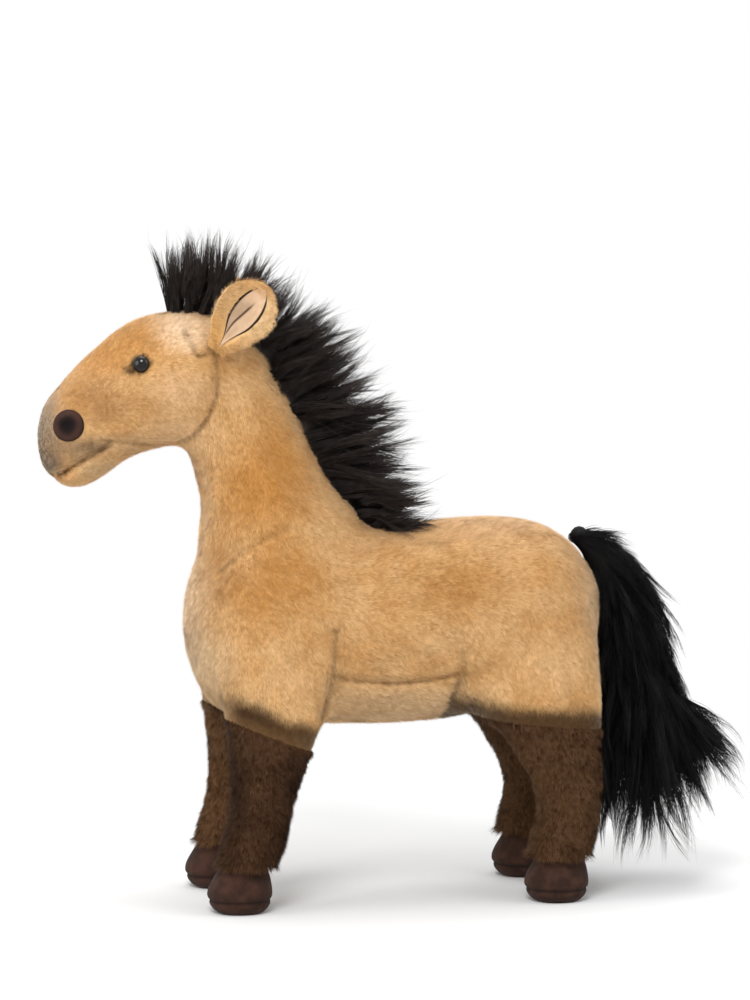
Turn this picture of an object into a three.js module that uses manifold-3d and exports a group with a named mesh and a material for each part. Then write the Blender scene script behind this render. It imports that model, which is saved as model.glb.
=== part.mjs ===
// A standing plush horse: a stuffed tan pelt with brown stockings, suede hooves, a black mane and a black tail.
// Millimetres, +Z up. The horse faces -X and its left side is at -Y.
import * as THREE from 'three';
import { mergeVertices } from 'three/addons/utils/BufferGeometryUtils.js';
import Module from 'manifold-3d';

const wasm = await Module();
wasm.setup();

// Cloth thicknesses and the clearances between pieces
const pileThickness = 3.2;
const suedeThickness = 1.8;
const feltThickness = 1.2;
const seamGap = 0.3;
const fillGap = 0.6;
const cutOverrun = 40;
const weldDistance = 0.0001;

// Trunk, from the chest at x = 0 to the rump
const trunkLength = 183;
const trunkHeight = 89.5;
const trunkWidth = 91;
const bellyClearance = 76;
const chestRound = 20;
const rumpRound = 40;

// Neck, from its root inside the shoulders to the poll
const neckRise = 114;
const neckDepth = 92;
const neckWidth = 72;
const pollRound = 14;

// Head, from the nose to the back of the skull
const headLength = 90;
const headHeight = 76;
const headWidth = 61;
const headLift = 5;
const noseRound = 10;
const skullRound = 16;
const browWidth = 22;

// Ears
const earLength = 35;
const earWidth = 27;
const earCup = 6;
const earThickness = 2.6;

// Eyes and nostrils
const eyeDiameter = 7.6;
const eyeDome = 3;
const shankDiameter = 2.4;
const shankLength = 9;
const washerDiameter = 9;
const washerThickness = 1.2;
const nostrilDiameter = 13.5;
const nostrilThickness = 1.4;

// Legs and hooves
const legSpread = 62;
const legDepth = 40;
const legWidth = 30;
const legRound = 16;
const foreLegInset = 18;
const hindLegInset = 26;
const foreStockingFront = 82;
const foreStockingBack = 68;
const hindStockingFront = 78;
const hindStockingBack = 75;
const hoofLength = 28.6;
const hoofWidth = 27;
const hoofHeight = 20;
const hoofSeamHeight = 6.6;

// Hair
const forelockLength = 32;
const forelockWidth = 20;
const maneLength = 43;
const maneWidth = 24;
const tailLength = 136;
const tailDepth = 54;
const tailWidth = 36;
const dockDiameter = 8;
const tailClearance = 0.8;

// Shares of the trunk's length, height above the belly, and half width:
// place from chest to rump, back line, belly line, width
const trunkShares = [
  [0.0, 0.939, 0.045, 0.81],
  [0.126, 0.95, 0.034, 0.9],
  [0.235, 0.961, 0.017, 0.945],
  [0.344, 0.966, 0.006, 0.965],
  [0.454, 0.97, 0.0, 0.98],
  [0.563, 0.978, 0.006, 1.0],
  [0.716, 1.0, 0.045, 1.01],
  [0.814, 0.994, 0.067, 1.01],
  [1.0, 0.983, 0.089, 0.99],
];

// Shares of the neck's rise, depth and half width: height, throat line, crest line, width
const neckShares = [
  [0.0, 0.046, 1.041, 1.0],
  [0.105, 0.062, 0.998, 0.985],
  [0.193, 0.073, 0.933, 0.96],
  [0.254, 0.076, 0.815, 0.93],
  [0.325, 0.076, 0.728, 0.89],
  [0.395, 0.049, 0.663, 0.84],
  [0.535, -0.011, 0.578, 0.765],
  [0.684, -0.054, 0.483, 0.71],
  [0.825, -0.065, 0.391, 0.68],
  [1.0, -0.043, 0.283, 0.64],
];
const neckRootShare = 0.69;

// Shares of the head's length, height and half width: place from nose to skull, top line, jaw line, width
const headShares = [
  [0.0, 0.526, 0.033, 0.54],
  [0.114, 0.566, 0.007, 0.607],
  [0.173, 0.625, 0.003, 0.623],
  [0.259, 0.743, 0.013, 0.64],
  [0.337, 0.842, 0.066, 0.69],
  [0.414, 0.908, 0.138, 0.77],
  [0.514, 0.957, 0.184, 0.885],
  [0.626, 0.987, 0.204, 0.984],
  [0.759, 0.987, 0.25, 1.0],
  [0.892, 0.96, 0.38, 0.92],
  [1.0, 0.908, 0.487, 0.79],
];

// Shares of the leg's height, depth, half width and half spread:
// height, front line and back line from the hoof's middle, width, how far the leg leans in
const foreLegShares = [
  [0.057, -0.225, 0.3, 0.73, 0.0],
  [0.136, -0.275, 0.3875, 0.88, 0.0],
  [0.193, -0.1925, 0.475, 0.88, 0.0],
  [0.243, -0.15, 0.52, 0.87, 0.0],
  [0.329, -0.095, 0.6, 0.88, 0.0],
  [0.414, -0.1125, 0.7, 0.93, 0.0],
  [0.496, -0.1325, 0.8125, 1.0, 0.0],
  [0.571, -0.1625, 0.875, 1.07, 0.016],
  [0.679, -0.225, 1.0, 1.17, 0.065],
  [0.786, -0.25, 1.1, 1.2, 0.13],
  [0.893, -0.2, 1.075, 1.17, 0.19],
  [1.0, -0.025, 0.875, 0.93, 0.26],
];
const hindLegShares = [
  [0.057, -0.295, 0.2925, 0.73, 0.0],
  [0.136, -0.3375, 0.385, 0.87, 0.0],
  [0.193, -0.275, 0.4175, 0.87, 0.0],
  [0.243, -0.225, 0.455, 0.87, 0.0],
  [0.307, -0.205, 0.505, 0.88, 0.0],
  [0.407, -0.3525, 0.51, 0.96, 0.0],
  [0.5, -0.575, 0.495, 1.06, 0.0],
  [0.579, -0.795, 0.5175, 1.17, 0.03],
  [0.657, -0.9575, 0.505, 1.27, 0.08],
  [0.75, -1.045, 0.505, 1.33, 0.145],
  [0.857, -0.995, 0.48, 1.3, 0.19],
  [0.95, -0.795, 0.405, 1.2, 0.26],
  [1.0, -0.6, 0.305, 1.1, 0.29],
];
const legTopShare = 0.715;

// Shares of the hoof's height, length and half width: height, toe line, heel line, width
const hoofShares = [
  [0.0, -0.3, 0.31, 0.62],
  [0.09, -0.41, 0.41, 0.83],
  [0.3, -0.49, 0.48, 0.98],
  [0.52, -0.5, 0.485, 1.0],
  [0.78, -0.46, 0.465, 0.96],
  [1.0, -0.38, 0.42, 0.86],
  [1.25, -0.26, 0.32, 0.66],
];

// Shares of the ear's length and half width: place from root to tip, width, thickness
const earShares = [
  [0.0, 0.3, 0.35],
  [0.12, 0.52, 0.7],
  [0.3, 0.84, 1.0],
  [0.52, 1.0, 1.0],
  [0.74, 0.9, 1.0],
  [0.9, 0.58, 0.9],
  [1.0, 0.2, 0.6],
];
const liningWidthShare = 0.74;
const liningStartShare = 0.1;
const liningEndShare = 0.88;
const earPlaceShares = [0.826, 0.776];
const earUpward = new THREE.Vector3(0.5, -0.14, 0.85).normalize();
const earFacing = new THREE.Vector3(-0.2, -0.93, -0.2).normalize();

// Shares of the head's length and height, from the nose and the jaw
const eyePlaceShares = [0.462, 0.697];
const nostrilPlaceShares = [0.127, 0.357];
const mouthShares = [[0.1, 0.03], [0.348, 0.263], [0.69, 0.2], [0.87, 0.11]];

// Shares of the trunk's length and height that bound the belly panel
const bellyPanelShares = { front: 0.26, back: 0.73, top: 0.2 };

// Hair along the head's top line: place on the head, length share, and the way it points in degrees
const forelockShares = [
  [0.592, 0.85, 100],
  [0.69, 1.0, 94],
  [0.79, 0.97, 86],
  [0.9, 0.86, 76],
];
// Hair along the neck's crest: place on the neck, length share, and the way it points in degrees
const maneShares = [
  [1.02, 0.52, 62],
  [0.95, 0.66, 38],
  [0.86, 0.86, 15],
  [0.73, 1.0, 1],
  [0.58, 1.04, -10],
  [0.43, 1.0, -18],
  [0.31, 0.8, -12],
  [0.24, 0.55, 2],
];
const hairRootShare = 0.16;

// Shares of the tail's length from the dock, and of its half depth and half width:
// behind, above, depth, width
const tailShares = [
  [0.0, 0.0, 0.19, 0.28],
  [0.063, -0.037, 0.24, 0.4],
  [0.115, -0.106, 0.33, 0.6],
  [0.15, -0.201, 0.42, 0.75],
  [0.175, -0.312, 0.5, 0.88],
  [0.2, -0.444, 0.62, 0.95],
  [0.24, -0.591, 0.8, 1.0],
  [0.285, -0.746, 1.0, 1.0],
  [0.306, -0.878, 0.92, 0.85],
  [0.3, -0.996, 0.5, 0.5],
];

// How round the sections are: 2 is an ellipse, and more is fuller at the corners
const sectionFullness = 2.2;

// Counts of faces round and along the pieces
const trunkSides = 16;
const trunkSteps = 6;
const trunkRoundSteps = 4;
const neckSteps = 6;
const headSides = 16;
const headSteps = 7;
const legSides = 12;
const legSteps = 8;
const hairSides = 12;
const roundSteps = 3;
const earSteps = 6;
const earColumns = 6;
const turnedSides = 12;

// Finishes
const finishes = {
  tanPile: { color: 0xc59055, roughness: 0.95 },
  brownPile: { color: 0x443123, roughness: 0.95 },
  hoofSuede: { color: 0x3d2b23, roughness: 0.85 },
  blackPile: { color: 0x16130f, roughness: 0.8 },
  earFelt: { color: 0xc6a786, roughness: 0.95 },
  nostrilSuede: { color: 0x3a241c, roughness: 0.85 },
  eyeBlack: { color: 0x0b0a0a, roughness: 0.08 },
  washerPlastic: { color: 0xe6e2d8, roughness: 0.5 },
  fibreFill: { color: 0xf1eee7, roughness: 1.0 },
};

// Reads one column of a table of shares with a smooth curve through its rows
function shareAt(rows, place, column) {
  const last = rows.length - 1;
  let row = 0;
  while (row < last - 1 && place > rows[row + 1][0]) row += 1;
  const slope = (k) => {
    const before = rows[Math.max(k - 1, 0)];
    const after = rows[Math.min(k + 1, last)];
    return (after[column] - before[column]) / (after[0] - before[0]);
  };
  const start = rows[row];
  const end = rows[row + 1];
  const step = end[0] - start[0];
  const t = THREE.MathUtils.clamp((place - start[0]) / step, 0, 1);
  const rise = end[column] - start[column];
  const bend = step * (slope(row) + slope(row + 1)) - 2 * rise;
  const lean = 3 * rise - step * (2 * slope(row) + slope(row + 1));
  return start[column] + t * (step * slope(row) + t * (lean + t * bend));
}

// A rounded closed outline: half sizes across, above and below its middle
function outline({ middle, across, upward, halfAcross, halfUp, halfDown }, sides) {
  return Array.from({ length: sides }, (_, k) => {
    const angle = (2 * Math.PI * k) / sides;
    const bulge = (v) => Math.sign(v) * Math.abs(v) ** (2 / sectionFullness);
    const rise = bulge(Math.sin(angle));
    return middle.clone()
      .addScaledVector(across, halfAcross * bulge(Math.cos(angle)))
      .addScaledVector(upward, rise * (rise > 0 ? halfUp : halfDown));
  });
}

// Joins rings of points into one closed surface that faces out
function closedSurface(rings, startPoint, endPoint) {
  const sides = rings[0].length;
  const points = [startPoint, ...rings.flat(), endPoint];
  const at = (ring, k) => 1 + ring * sides + (k % sides);
  const faces = [];
  for (let k = 0; k < sides; k += 1) {
    faces.push(0, at(0, k + 1), at(0, k));
    faces.push(points.length - 1, at(rings.length - 1, k), at(rings.length - 1, k + 1));
    for (let ring = 0; ring < rings.length - 1; ring += 1) {
      faces.push(at(ring, k), at(ring, k + 1), at(ring + 1, k + 1));
      faces.push(at(ring, k), at(ring + 1, k + 1), at(ring + 1, k));
    }
  }
  return facingOut(surfaceOf(points, faces));
}

function surfaceOf(points, faces) {
  const geometry = new THREE.BufferGeometry();
  geometry.setAttribute('position', new THREE.Float32BufferAttribute(points.flatMap((p) => [p.x, p.y, p.z]), 3));
  geometry.setIndex(faces);
  return geometry;
}

function enclosedVolume(geometry) {
  const [a, b, c] = [new THREE.Vector3(), new THREE.Vector3(), new THREE.Vector3()];
  const { position } = geometry.attributes;
  const faces = geometry.index.array;
  let volume = 0;
  for (let k = 0; k < faces.length; k += 3) {
    a.fromBufferAttribute(position, faces[k]);
    b.fromBufferAttribute(position, faces[k + 1]);
    c.fromBufferAttribute(position, faces[k + 2]);
    volume += a.dot(b.cross(c)) / 6;
  }
  return volume;
}

function turnedInsideOut(geometry) {
  const faces = Array.from(geometry.index.array);
  for (let k = 0; k < faces.length; k += 3) [faces[k], faces[k + 1]] = [faces[k + 1], faces[k]];
  geometry.setIndex(faces);
  return geometry;
}

function facingOut(geometry) {
  return enclosedVolume(geometry) < 0 ? turnedInsideOut(geometry) : geometry;
}

// Merges shared points and drops faces that have no area
function welded(geometry) {
  const bare = geometry.clone();
  bare.deleteAttribute('normal');
  bare.deleteAttribute('uv');
  const merged = mergeVertices(bare, weldDistance);
  const faces = Array.from(merged.index.array);
  const kept = [];
  for (let k = 0; k < faces.length; k += 3) {
    const [a, b, c] = faces.slice(k, k + 3);
    if (a !== b && b !== c && c !== a) kept.push(a, b, c);
  }
  merged.setIndex(kept);
  return merged;
}

function solidOf(geometry) {
  const shape = welded(geometry);
  return new wasm.Manifold(new wasm.Mesh({
    numProp: 3,
    vertProperties: new Float32Array(shape.attributes.position.array),
    triVerts: new Uint32Array(shape.index.array),
  }));
}

function geometryOf(solid) {
  const { vertProperties, triVerts } = solid.getMesh();
  const geometry = new THREE.BufferGeometry();
  geometry.setAttribute('position', new THREE.BufferAttribute(new Float32Array(vertProperties), 3));
  geometry.setIndex(Array.from(triVerts));
  return geometry;
}

// Rings along a stuffed form; its ends are drawn in round, and spread moves the whole surface out or in
function formGeometry(form, spread) {
  const places = [];
  const startRound = form.startRound + spread;
  const endRound = form.endRound + spread;
  const turns = form.roundSteps ?? roundSteps;
  for (let k = 1; k <= turns; k += 1) {
    const turn = (k / turns) * (Math.PI / 2);
    places.push({ along: startRound * (1 - Math.cos(turn)) - spread, drawn: Math.sin(turn) });
  }
  const middle = form.length - form.startRound - form.endRound;
  for (let k = 1; k < form.steps; k += 1) {
    places.push({ along: form.startRound + (middle * k) / form.steps, drawn: 1 });
  }
  for (let k = turns; k >= 1; k -= 1) {
    const turn = (k / turns) * (Math.PI / 2);
    places.push({ along: form.length + spread - endRound * (1 - Math.cos(turn)), drawn: Math.sin(turn) });
  }
  const rings = places.map(({ along, drawn }) => {
    const section = form.section(along);
    return outline({
      ...section,
      halfAcross: (section.halfAcross + spread) * drawn,
      halfUp: (section.halfUp + spread) * drawn,
      halfDown: (section.halfDown + spread) * drawn,
    }, form.sides);
  });
  const startPoint = form.section(-spread).middle;
  const endPoint = form.section(form.length + spread).middle;
  return closedSurface(rings, startPoint, endPoint);
}

function formSolid(form, spread = 0) {
  return solidOf(formGeometry(form, spread));
}

// Stuffing has half as many sides as the skin round it, so that it stays inside the skin's faces
function fillGeometry(form, thickness) {
  return formGeometry({ ...form, sides: form.sides / 2 }, -thickness - fillGap);
}

// A hollow skin of a form, and the stuffing that fills it
function skinOf(form, thickness) {
  return formSolid(form).subtract(formSolid(form, -thickness));
}

function fillOf(form, thickness) {
  return solidOf(fillGeometry(form, thickness));
}

// Cutting blocks
function block(low, high) {
  const size = high.clone().sub(low);
  const geometry = new THREE.BoxGeometry(size.x, size.y, size.z);
  geometry.translate((low.x + high.x) / 2, (low.y + high.y) / 2, (low.z + high.z) / 2);
  return solidOf(geometry);
}

// A block with a given side outline, running right across the horse
function crossBlock(points) {
  const shape = new THREE.Shape(points.map(([x, z]) => new THREE.Vector2(x, z)));
  const span = trunkWidth + 2 * cutOverrun;
  const geometry = new THREE.ExtrudeGeometry(shape, { depth: span, bevelEnabled: false, steps: 1 });
  geometry.rotateX(Math.PI / 2);
  geometry.translate(0, span / 2, 0);
  return solidOf(geometry);
}

function sideBlock(side) {
  const reach = trunkLength + headLength + tailLength + cutOverrun;
  const near = seamGap / 2;
  const low = new THREE.Vector3(-reach, side < 0 ? -reach : near, -reach);
  const high = new THREE.Vector3(reach, side < 0 ? -near : reach, reach);
  return block(low, high);
}

// Stuffed forms with upright sections along X, and with level sections along Z
function uprightForm({ rows, origin, length, height, width, startRound, endRound, sides, steps }) {
  const section = (along) => {
    const place = along / length;
    const top = origin.z + height * shareAt(rows, place, 1);
    const bottom = origin.z + height * shareAt(rows, place, 2);
    return {
      middle: new THREE.Vector3(origin.x + along, 0, (top + bottom) / 2),
      across: new THREE.Vector3(0, 1, 0),
      upward: new THREE.Vector3(0, 0, 1),
      halfAcross: (width / 2) * shareAt(rows, place, 3),
      halfUp: (top - bottom) / 2,
      halfDown: (top - bottom) / 2,
    };
  };
  return { section, length, startRound, endRound, sides, steps };
}

function levelForm({ rows, origin, bottom, rise, depth, width, lean, length, startRound, endRound, sides, steps }) {
  const section = (along) => {
    const place = (bottom + along) / rise;
    const front = origin.x + depth * shareAt(rows, place, 1);
    const back = origin.x + depth * shareAt(rows, place, 2);
    const shift = lean ? lean * shareAt(rows, place, 4) : 0;
    return {
      middle: new THREE.Vector3((front + back) / 2, origin.y + shift, origin.z + bottom + along),
      across: new THREE.Vector3(0, 1, 0),
      upward: new THREE.Vector3(1, 0, 0),
      halfAcross: (width / 2) * shareAt(rows, place, 3),
      halfUp: (back - front) / 2,
      halfDown: (back - front) / 2,
    };
  };
  return { section, bottom, length, startRound, endRound, sides, steps };
}

const trunkForm = {
  ...uprightForm({
    rows: trunkShares,
    origin: new THREE.Vector3(0, 0, bellyClearance),
    length: trunkLength,
    height: trunkHeight,
    width: trunkWidth,
    startRound: chestRound,
    endRound: rumpRound,
    sides: trunkSides,
    steps: trunkSteps,
  }),
  roundSteps: trunkRoundSteps,
};

const neckRoot = new THREE.Vector3(0, 0, bellyClearance + trunkHeight * neckRootShare);
const neckForm = levelForm({
  rows: neckShares,
  origin: neckRoot,
  bottom: 0,
  rise: neckRise,
  depth: neckDepth,
  width: neckWidth,
  length: neckRise,
  startRound: pollRound,
  endRound: pollRound,
  sides: trunkSides,
  steps: neckSteps,
});

const poll = new THREE.Vector3(neckDepth * shareAt(neckShares, 1, 2), 0, neckRoot.z + neckRise);
const headOrigin = new THREE.Vector3(poll.x - headLength, 0, poll.z + headLift - headHeight);
const headForm = uprightForm({
  rows: headShares,
  origin: headOrigin,
  length: headLength,
  height: headHeight,
  width: headWidth,
  startRound: noseRound,
  endRound: skullRound,
  sides: headSides,
  steps: headSteps,
});

// The point on the head's left side at a share of its length and height, and the way the surface faces there
function headSurface([lengthShare, heightShare]) {
  const height = headOrigin.z + headHeight * heightShare;
  const sideAt = (along, z) => {
    const { middle, halfAcross, halfUp } = headForm.section(along);
    const level = Math.min(Math.abs(z - middle.z) / halfUp, 1);
    return -halfAcross * (1 - level ** sectionFullness) ** (1 / sectionFullness);
  };
  const along = headLength * lengthShare;
  const probe = seamGap;
  const point = new THREE.Vector3(headOrigin.x + along, sideAt(along, height), height);
  const slopeAlong = (sideAt(along + probe, height) - sideAt(along - probe, height)) / (2 * probe);
  const slopeUp = (sideAt(along, height + probe) - sideAt(along, height - probe)) / (2 * probe);
  const facing = new THREE.Vector3(slopeAlong, -1, slopeUp).normalize();
  return { point, facing };
}

// Solids that others are cut by, each spread by the seam gap
const trunkRoom = formSolid(trunkForm, seamGap);
const neckRoom = formSolid(neckForm, seamGap);
const headRoom = formSolid(headForm, seamGap);

// Moves a geometry so that its mesh can stand at a pivot, and names it
function piece(name, geometry, finish, pivot = new THREE.Vector3()) {
  const body = geometry.clone().translate(-pivot.x, -pivot.y, -pivot.z);
  const mesh = new THREE.Mesh(body, new THREE.MeshStandardMaterial({ ...finishes[finish], metalness: 0 }));
  mesh.name = name;
  mesh.position.copy(pivot);
  return mesh;
}

function mirrored(geometry) {
  return turnedInsideOut(geometry.clone().scale(1, -1, 1));
}

// The same piece for both sides: made on the left and mirrored to the right
function pair(name, leftGeometry, finish, leftPivot = new THREE.Vector3()) {
  const rightPivot = leftPivot.clone().multiply(new THREE.Vector3(1, -1, 1));
  return [
    piece(`${name}_left`, leftGeometry, finish, leftPivot),
    piece(`${name}_right`, mirrored(leftGeometry), finish, rightPivot),
  ];
}

function makeTrunk() {
  const trunk = new THREE.Group();
  const skin = skinOf(trunkForm, pileThickness);
  const low = new THREE.Vector3(trunkLength * bellyPanelShares.front, -trunkWidth, 0);
  const high = new THREE.Vector3(
    trunkLength * bellyPanelShares.back,
    trunkWidth,
    bellyClearance + trunkHeight * bellyPanelShares.top,
  );
  const margin = new THREE.Vector3(seamGap, seamGap, seamGap);
  const belly = skin.intersect(block(low, high));
  const sides = skin.subtract(block(low.clone().sub(margin), high.clone().add(margin)));
  const left = geometryOf(sides.intersect(sideBlock(-1)));
  trunk.add(...pair('body_panel', left, 'tanPile'));
  trunk.add(piece('belly_panel', geometryOf(belly), 'tanPile'));
  trunk.add(piece('body_fill', fillGeometry(trunkForm, pileThickness), 'fibreFill'));
  return trunk;
}

function makeNeck() {
  const neck = new THREE.Group();
  const skin = skinOf(neckForm, pileThickness).subtract(trunkRoom).subtract(headRoom);
  const fill = fillOf(neckForm, pileThickness).subtract(trunkRoom).subtract(headRoom);
  neck.add(...pair('neck_panel', geometryOf(skin.intersect(sideBlock(-1))), 'tanPile'));
  neck.add(piece('neck_fill', geometryOf(fill), 'fibreFill'));
  return neck;
}

// A turned solid whose axis starts on the surface and runs along the way it faces
function turnedAt(profile, { point, facing }) {
  const geometry = new THREE.LatheGeometry(profile.map(([r, h]) => new THREE.Vector2(r, h)), turnedSides);
  const turn = new THREE.Quaternion().setFromUnitVectors(new THREE.Vector3(0, 1, 0), facing);
  geometry.applyQuaternion(turn);
  geometry.translate(point.x, point.y, point.z);
  return facingOut(welded(geometry));
}

function plug(radius, from, to, seat) {
  return turnedAt([[0, from], [radius, from], [radius, to], [0, to]], seat);
}

const eyeSeat = headSurface(eyePlaceShares);
const nostrilSeat = headSurface(nostrilPlaceShares);

function eyeGeometry() {
  const radius = eyeDiameter / 2;
  const shank = shankDiameter / 2;
  const arc = Array.from({ length: roundSteps + 2 }, (_, k) => {
    const turn = (k / (roundSteps + 1)) * (Math.PI / 2);
    return [radius * Math.cos(turn), seamGap + eyeDome * Math.sin(turn)];
  });
  return turnedAt([[0, -shankLength], [shank, -shankLength], [shank, seamGap], ...arc], eyeSeat);
}

function washerGeometry() {
  const inner = shankDiameter / 2 + seamGap;
  const outer = washerDiameter / 2;
  const top = -pileThickness - 2 * seamGap;
  const bottom = top - washerThickness;
  return turnedAt([[inner, bottom], [outer, bottom], [outer, top], [inner, top], [inner, bottom]], eyeSeat);
}

// The nostril is a round patch that follows the muzzle's surface
function nostrilSolid() {
  const radius = nostrilDiameter / 2;
  const patch = formSolid(headForm, seamGap + nostrilThickness).subtract(headRoom);
  return patch.intersect(solidOf(plug(radius, -radius, radius, nostrilSeat)));
}

function makeHead() {
  const head = new THREE.Group();
  const skin = skinOf(headForm, pileThickness);
  const atShare = ([along, up]) => [headOrigin.x + headLength * along, headOrigin.z + headHeight * up];
  const mouth = mouthShares.map(atShare);
  const ahead = headOrigin.x - cutOverrun;
  const behind = headOrigin.x + headLength + cutOverrun;
  const below = headOrigin.z - cutOverrun;
  const jawLine = (drop) => crossBlock([
    [ahead, below],
    [behind, below],
    [behind, mouth.at(-1)[1] - drop],
    ...mouth.toReversed().map(([x, z]) => [x, z - drop]),
    [ahead, mouth[0][1] - drop],
  ]);
  const browLow = new THREE.Vector3(ahead, -browWidth / 2, headOrigin.z + headHeight / 2);
  const browHigh = new THREE.Vector3(behind, browWidth / 2, headOrigin.z + headHeight + cutOverrun);
  const margin = new THREE.Vector3(seamGap, seamGap, seamGap);
  const eyeHole = plug(shankDiameter / 2 + seamGap, -shankLength - seamGap, eyeDome, eyeSeat);
  const washerPocket = plug(
    washerDiameter / 2 + seamGap,
    -shankLength - seamGap,
    eyeDome,
    eyeSeat,
  );
  const cheeks = skin
    .subtract(jawLine(0))
    .subtract(block(browLow.clone().sub(margin), browHigh.clone().add(margin)))
    .intersect(sideBlock(-1))
    .subtract(solidOf(eyeHole));
  const brow = skin.intersect(block(browLow, browHigh));
  const chin = skin.intersect(jawLine(seamGap));
  const fill = fillOf(headForm, pileThickness)
    .subtract(solidOf(washerPocket))
    .subtract(solidOf(mirrored(washerPocket)));
  head.add(...pair('cheek_panel', geometryOf(cheeks), 'tanPile'));
  head.add(piece('brow_panel', geometryOf(brow), 'tanPile'));
  head.add(piece('chin_panel', geometryOf(chin), 'tanPile'));
  head.add(piece('head_fill', geometryOf(fill), 'fibreFill'));
  head.add(...pair('eye', eyeGeometry(), 'eyeBlack', eyeSeat.point));
  head.add(...pair('eye_washer', washerGeometry(), 'washerPlastic', eyeSeat.point));
  head.add(...pair('nostril', geometryOf(nostrilSolid()), 'nostrilSuede', nostrilSeat.point));
  return head;
}

const earSeat = headSurface(earPlaceShares);

// A cupped leaf between two layers; it stands on the ear's seat and its rims curl towards the way it faces
function leafGeometry({ start, end, widthShare, backAt, frontAt }) {
  const facing = earFacing.clone().addScaledVector(earUpward, -earFacing.dot(earUpward)).normalize();
  const across = new THREE.Vector3().crossVectors(facing, earUpward).normalize();
  const rings = Array.from({ length: earSteps + 1 }, (_, row) => {
    const place = start + ((end - start) * row) / earSteps;
    const half = (earWidth / 2) * widthShare * shareAt(earShares, (place - start) / (end - start), 1);
    const thin = shareAt(earShares, place, 2);
    const spot = (column, layer) => {
      const side = (2 * column) / earColumns - 1;
      const curl = earCup * (side * half / (earWidth / 2)) ** 2;
      return earSeat.point.clone()
        .addScaledVector(earUpward, earLength * place)
        .addScaledVector(across, half * side)
        .addScaledVector(facing, curl + layer * thin);
    };
    const back = Array.from({ length: earColumns + 1 }, (_, column) => spot(column, backAt));
    const front = Array.from({ length: earColumns + 1 }, (_, column) => spot(earColumns - column, frontAt));
    return [...back, ...front];
  });
  const centreOf = (ring) => ring.reduce((sum, p) => sum.add(p), new THREE.Vector3()).divideScalar(ring.length);
  return closedSurface(rings, centreOf(rings[0]), centreOf(rings.at(-1)));
}

function makeEars() {
  const ears = new THREE.Group();
  const backShape = { start: 0, end: 1, widthShare: 1, backAt: -earThickness, frontAt: 0 };
  const liningShape = {
    start: liningStartShare,
    end: liningEndShare,
    widthShare: liningWidthShare,
    backAt: 2 * seamGap,
    frontAt: 2 * seamGap + feltThickness,
  };
  const back = solidOf(leafGeometry(backShape)).subtract(headRoom).subtract(neckRoom);
  const lining = solidOf(leafGeometry(liningShape)).subtract(headRoom).subtract(neckRoom);
  ears.add(...pair('ear_back', geometryOf(back), 'tanPile', earSeat.point));
  ears.add(...pair('ear_lining', geometryOf(lining), 'earFelt', earSeat.point));
  return ears;
}

// Hair that stands on a line of roots: each row gives a root, a length and the way the hair points
function hairFin(rows, rootAt, length, width) {
  const rings = rows.map(([place, lengthShare, degrees]) => {
    const angle = THREE.MathUtils.degToRad(degrees);
    const upward = new THREE.Vector3(Math.cos(angle), 0, Math.sin(angle));
    const full = length * lengthShare;
    return outline({
      middle: rootAt(place).addScaledVector(upward, full * hairRootShare),
      across: new THREE.Vector3(0, 1, 0),
      upward,
      halfAcross: width / 2,
      halfUp: full * (1 - hairRootShare),
      halfDown: full * 2 * hairRootShare,
    }, hairSides);
  });
  const centreOf = (ring) => ring.reduce((sum, p) => sum.add(p), new THREE.Vector3()).divideScalar(ring.length);
  return solidOf(closedSurface(rings, centreOf(rings[0]), centreOf(rings.at(-1))));
}

function makeHair() {
  const hair = new THREE.Group();
  const onHead = (place) => {
    const { middle, halfUp } = headForm.section(headLength * place);
    return new THREE.Vector3(middle.x, 0, middle.z + halfUp);
  };
  const onCrest = (place) => {
    const { middle, halfUp } = neckForm.section(neckRise * place);
    return new THREE.Vector3(middle.x + halfUp, 0, middle.z);
  };
  const cut = (solid) => geometryOf(solid.subtract(headRoom).subtract(neckRoom).subtract(trunkRoom));
  const forelock = hairFin(forelockShares, onHead, forelockLength, forelockWidth);
  const mane = hairFin(maneShares, onCrest, maneLength, maneWidth);
  hair.add(piece('forelock', cut(forelock), 'blackPile'));
  hair.add(piece('mane', cut(mane), 'blackPile'));
  return hair;
}

// The dock is a small sewn ball that just clears the ring of the rump half way round its curve
function dockCentre() {
  const dockAngle = Math.PI / trunkRoundSteps;
  const { middle, halfUp } = trunkForm.section(trunkLength - rumpRound + rumpRound * Math.cos(dockAngle));
  const facing = new THREE.Vector3(Math.cos(dockAngle) / rumpRound, 0, Math.sin(dockAngle) / halfUp).normalize();
  const standOff = dockDiameter / 2 + seamGap;
  return new THREE.Vector3(middle.x, 0, middle.z + halfUp * Math.sin(dockAngle)).addScaledVector(facing, standOff);
}

const tailPivot = dockCentre();

function ball(diameter) {
  const geometry = new THREE.SphereGeometry(diameter / 2, turnedSides, turnedSides / 2);
  geometry.translate(tailPivot.x, tailPivot.y, tailPivot.z);
  return facingOut(welded(geometry));
}

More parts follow.
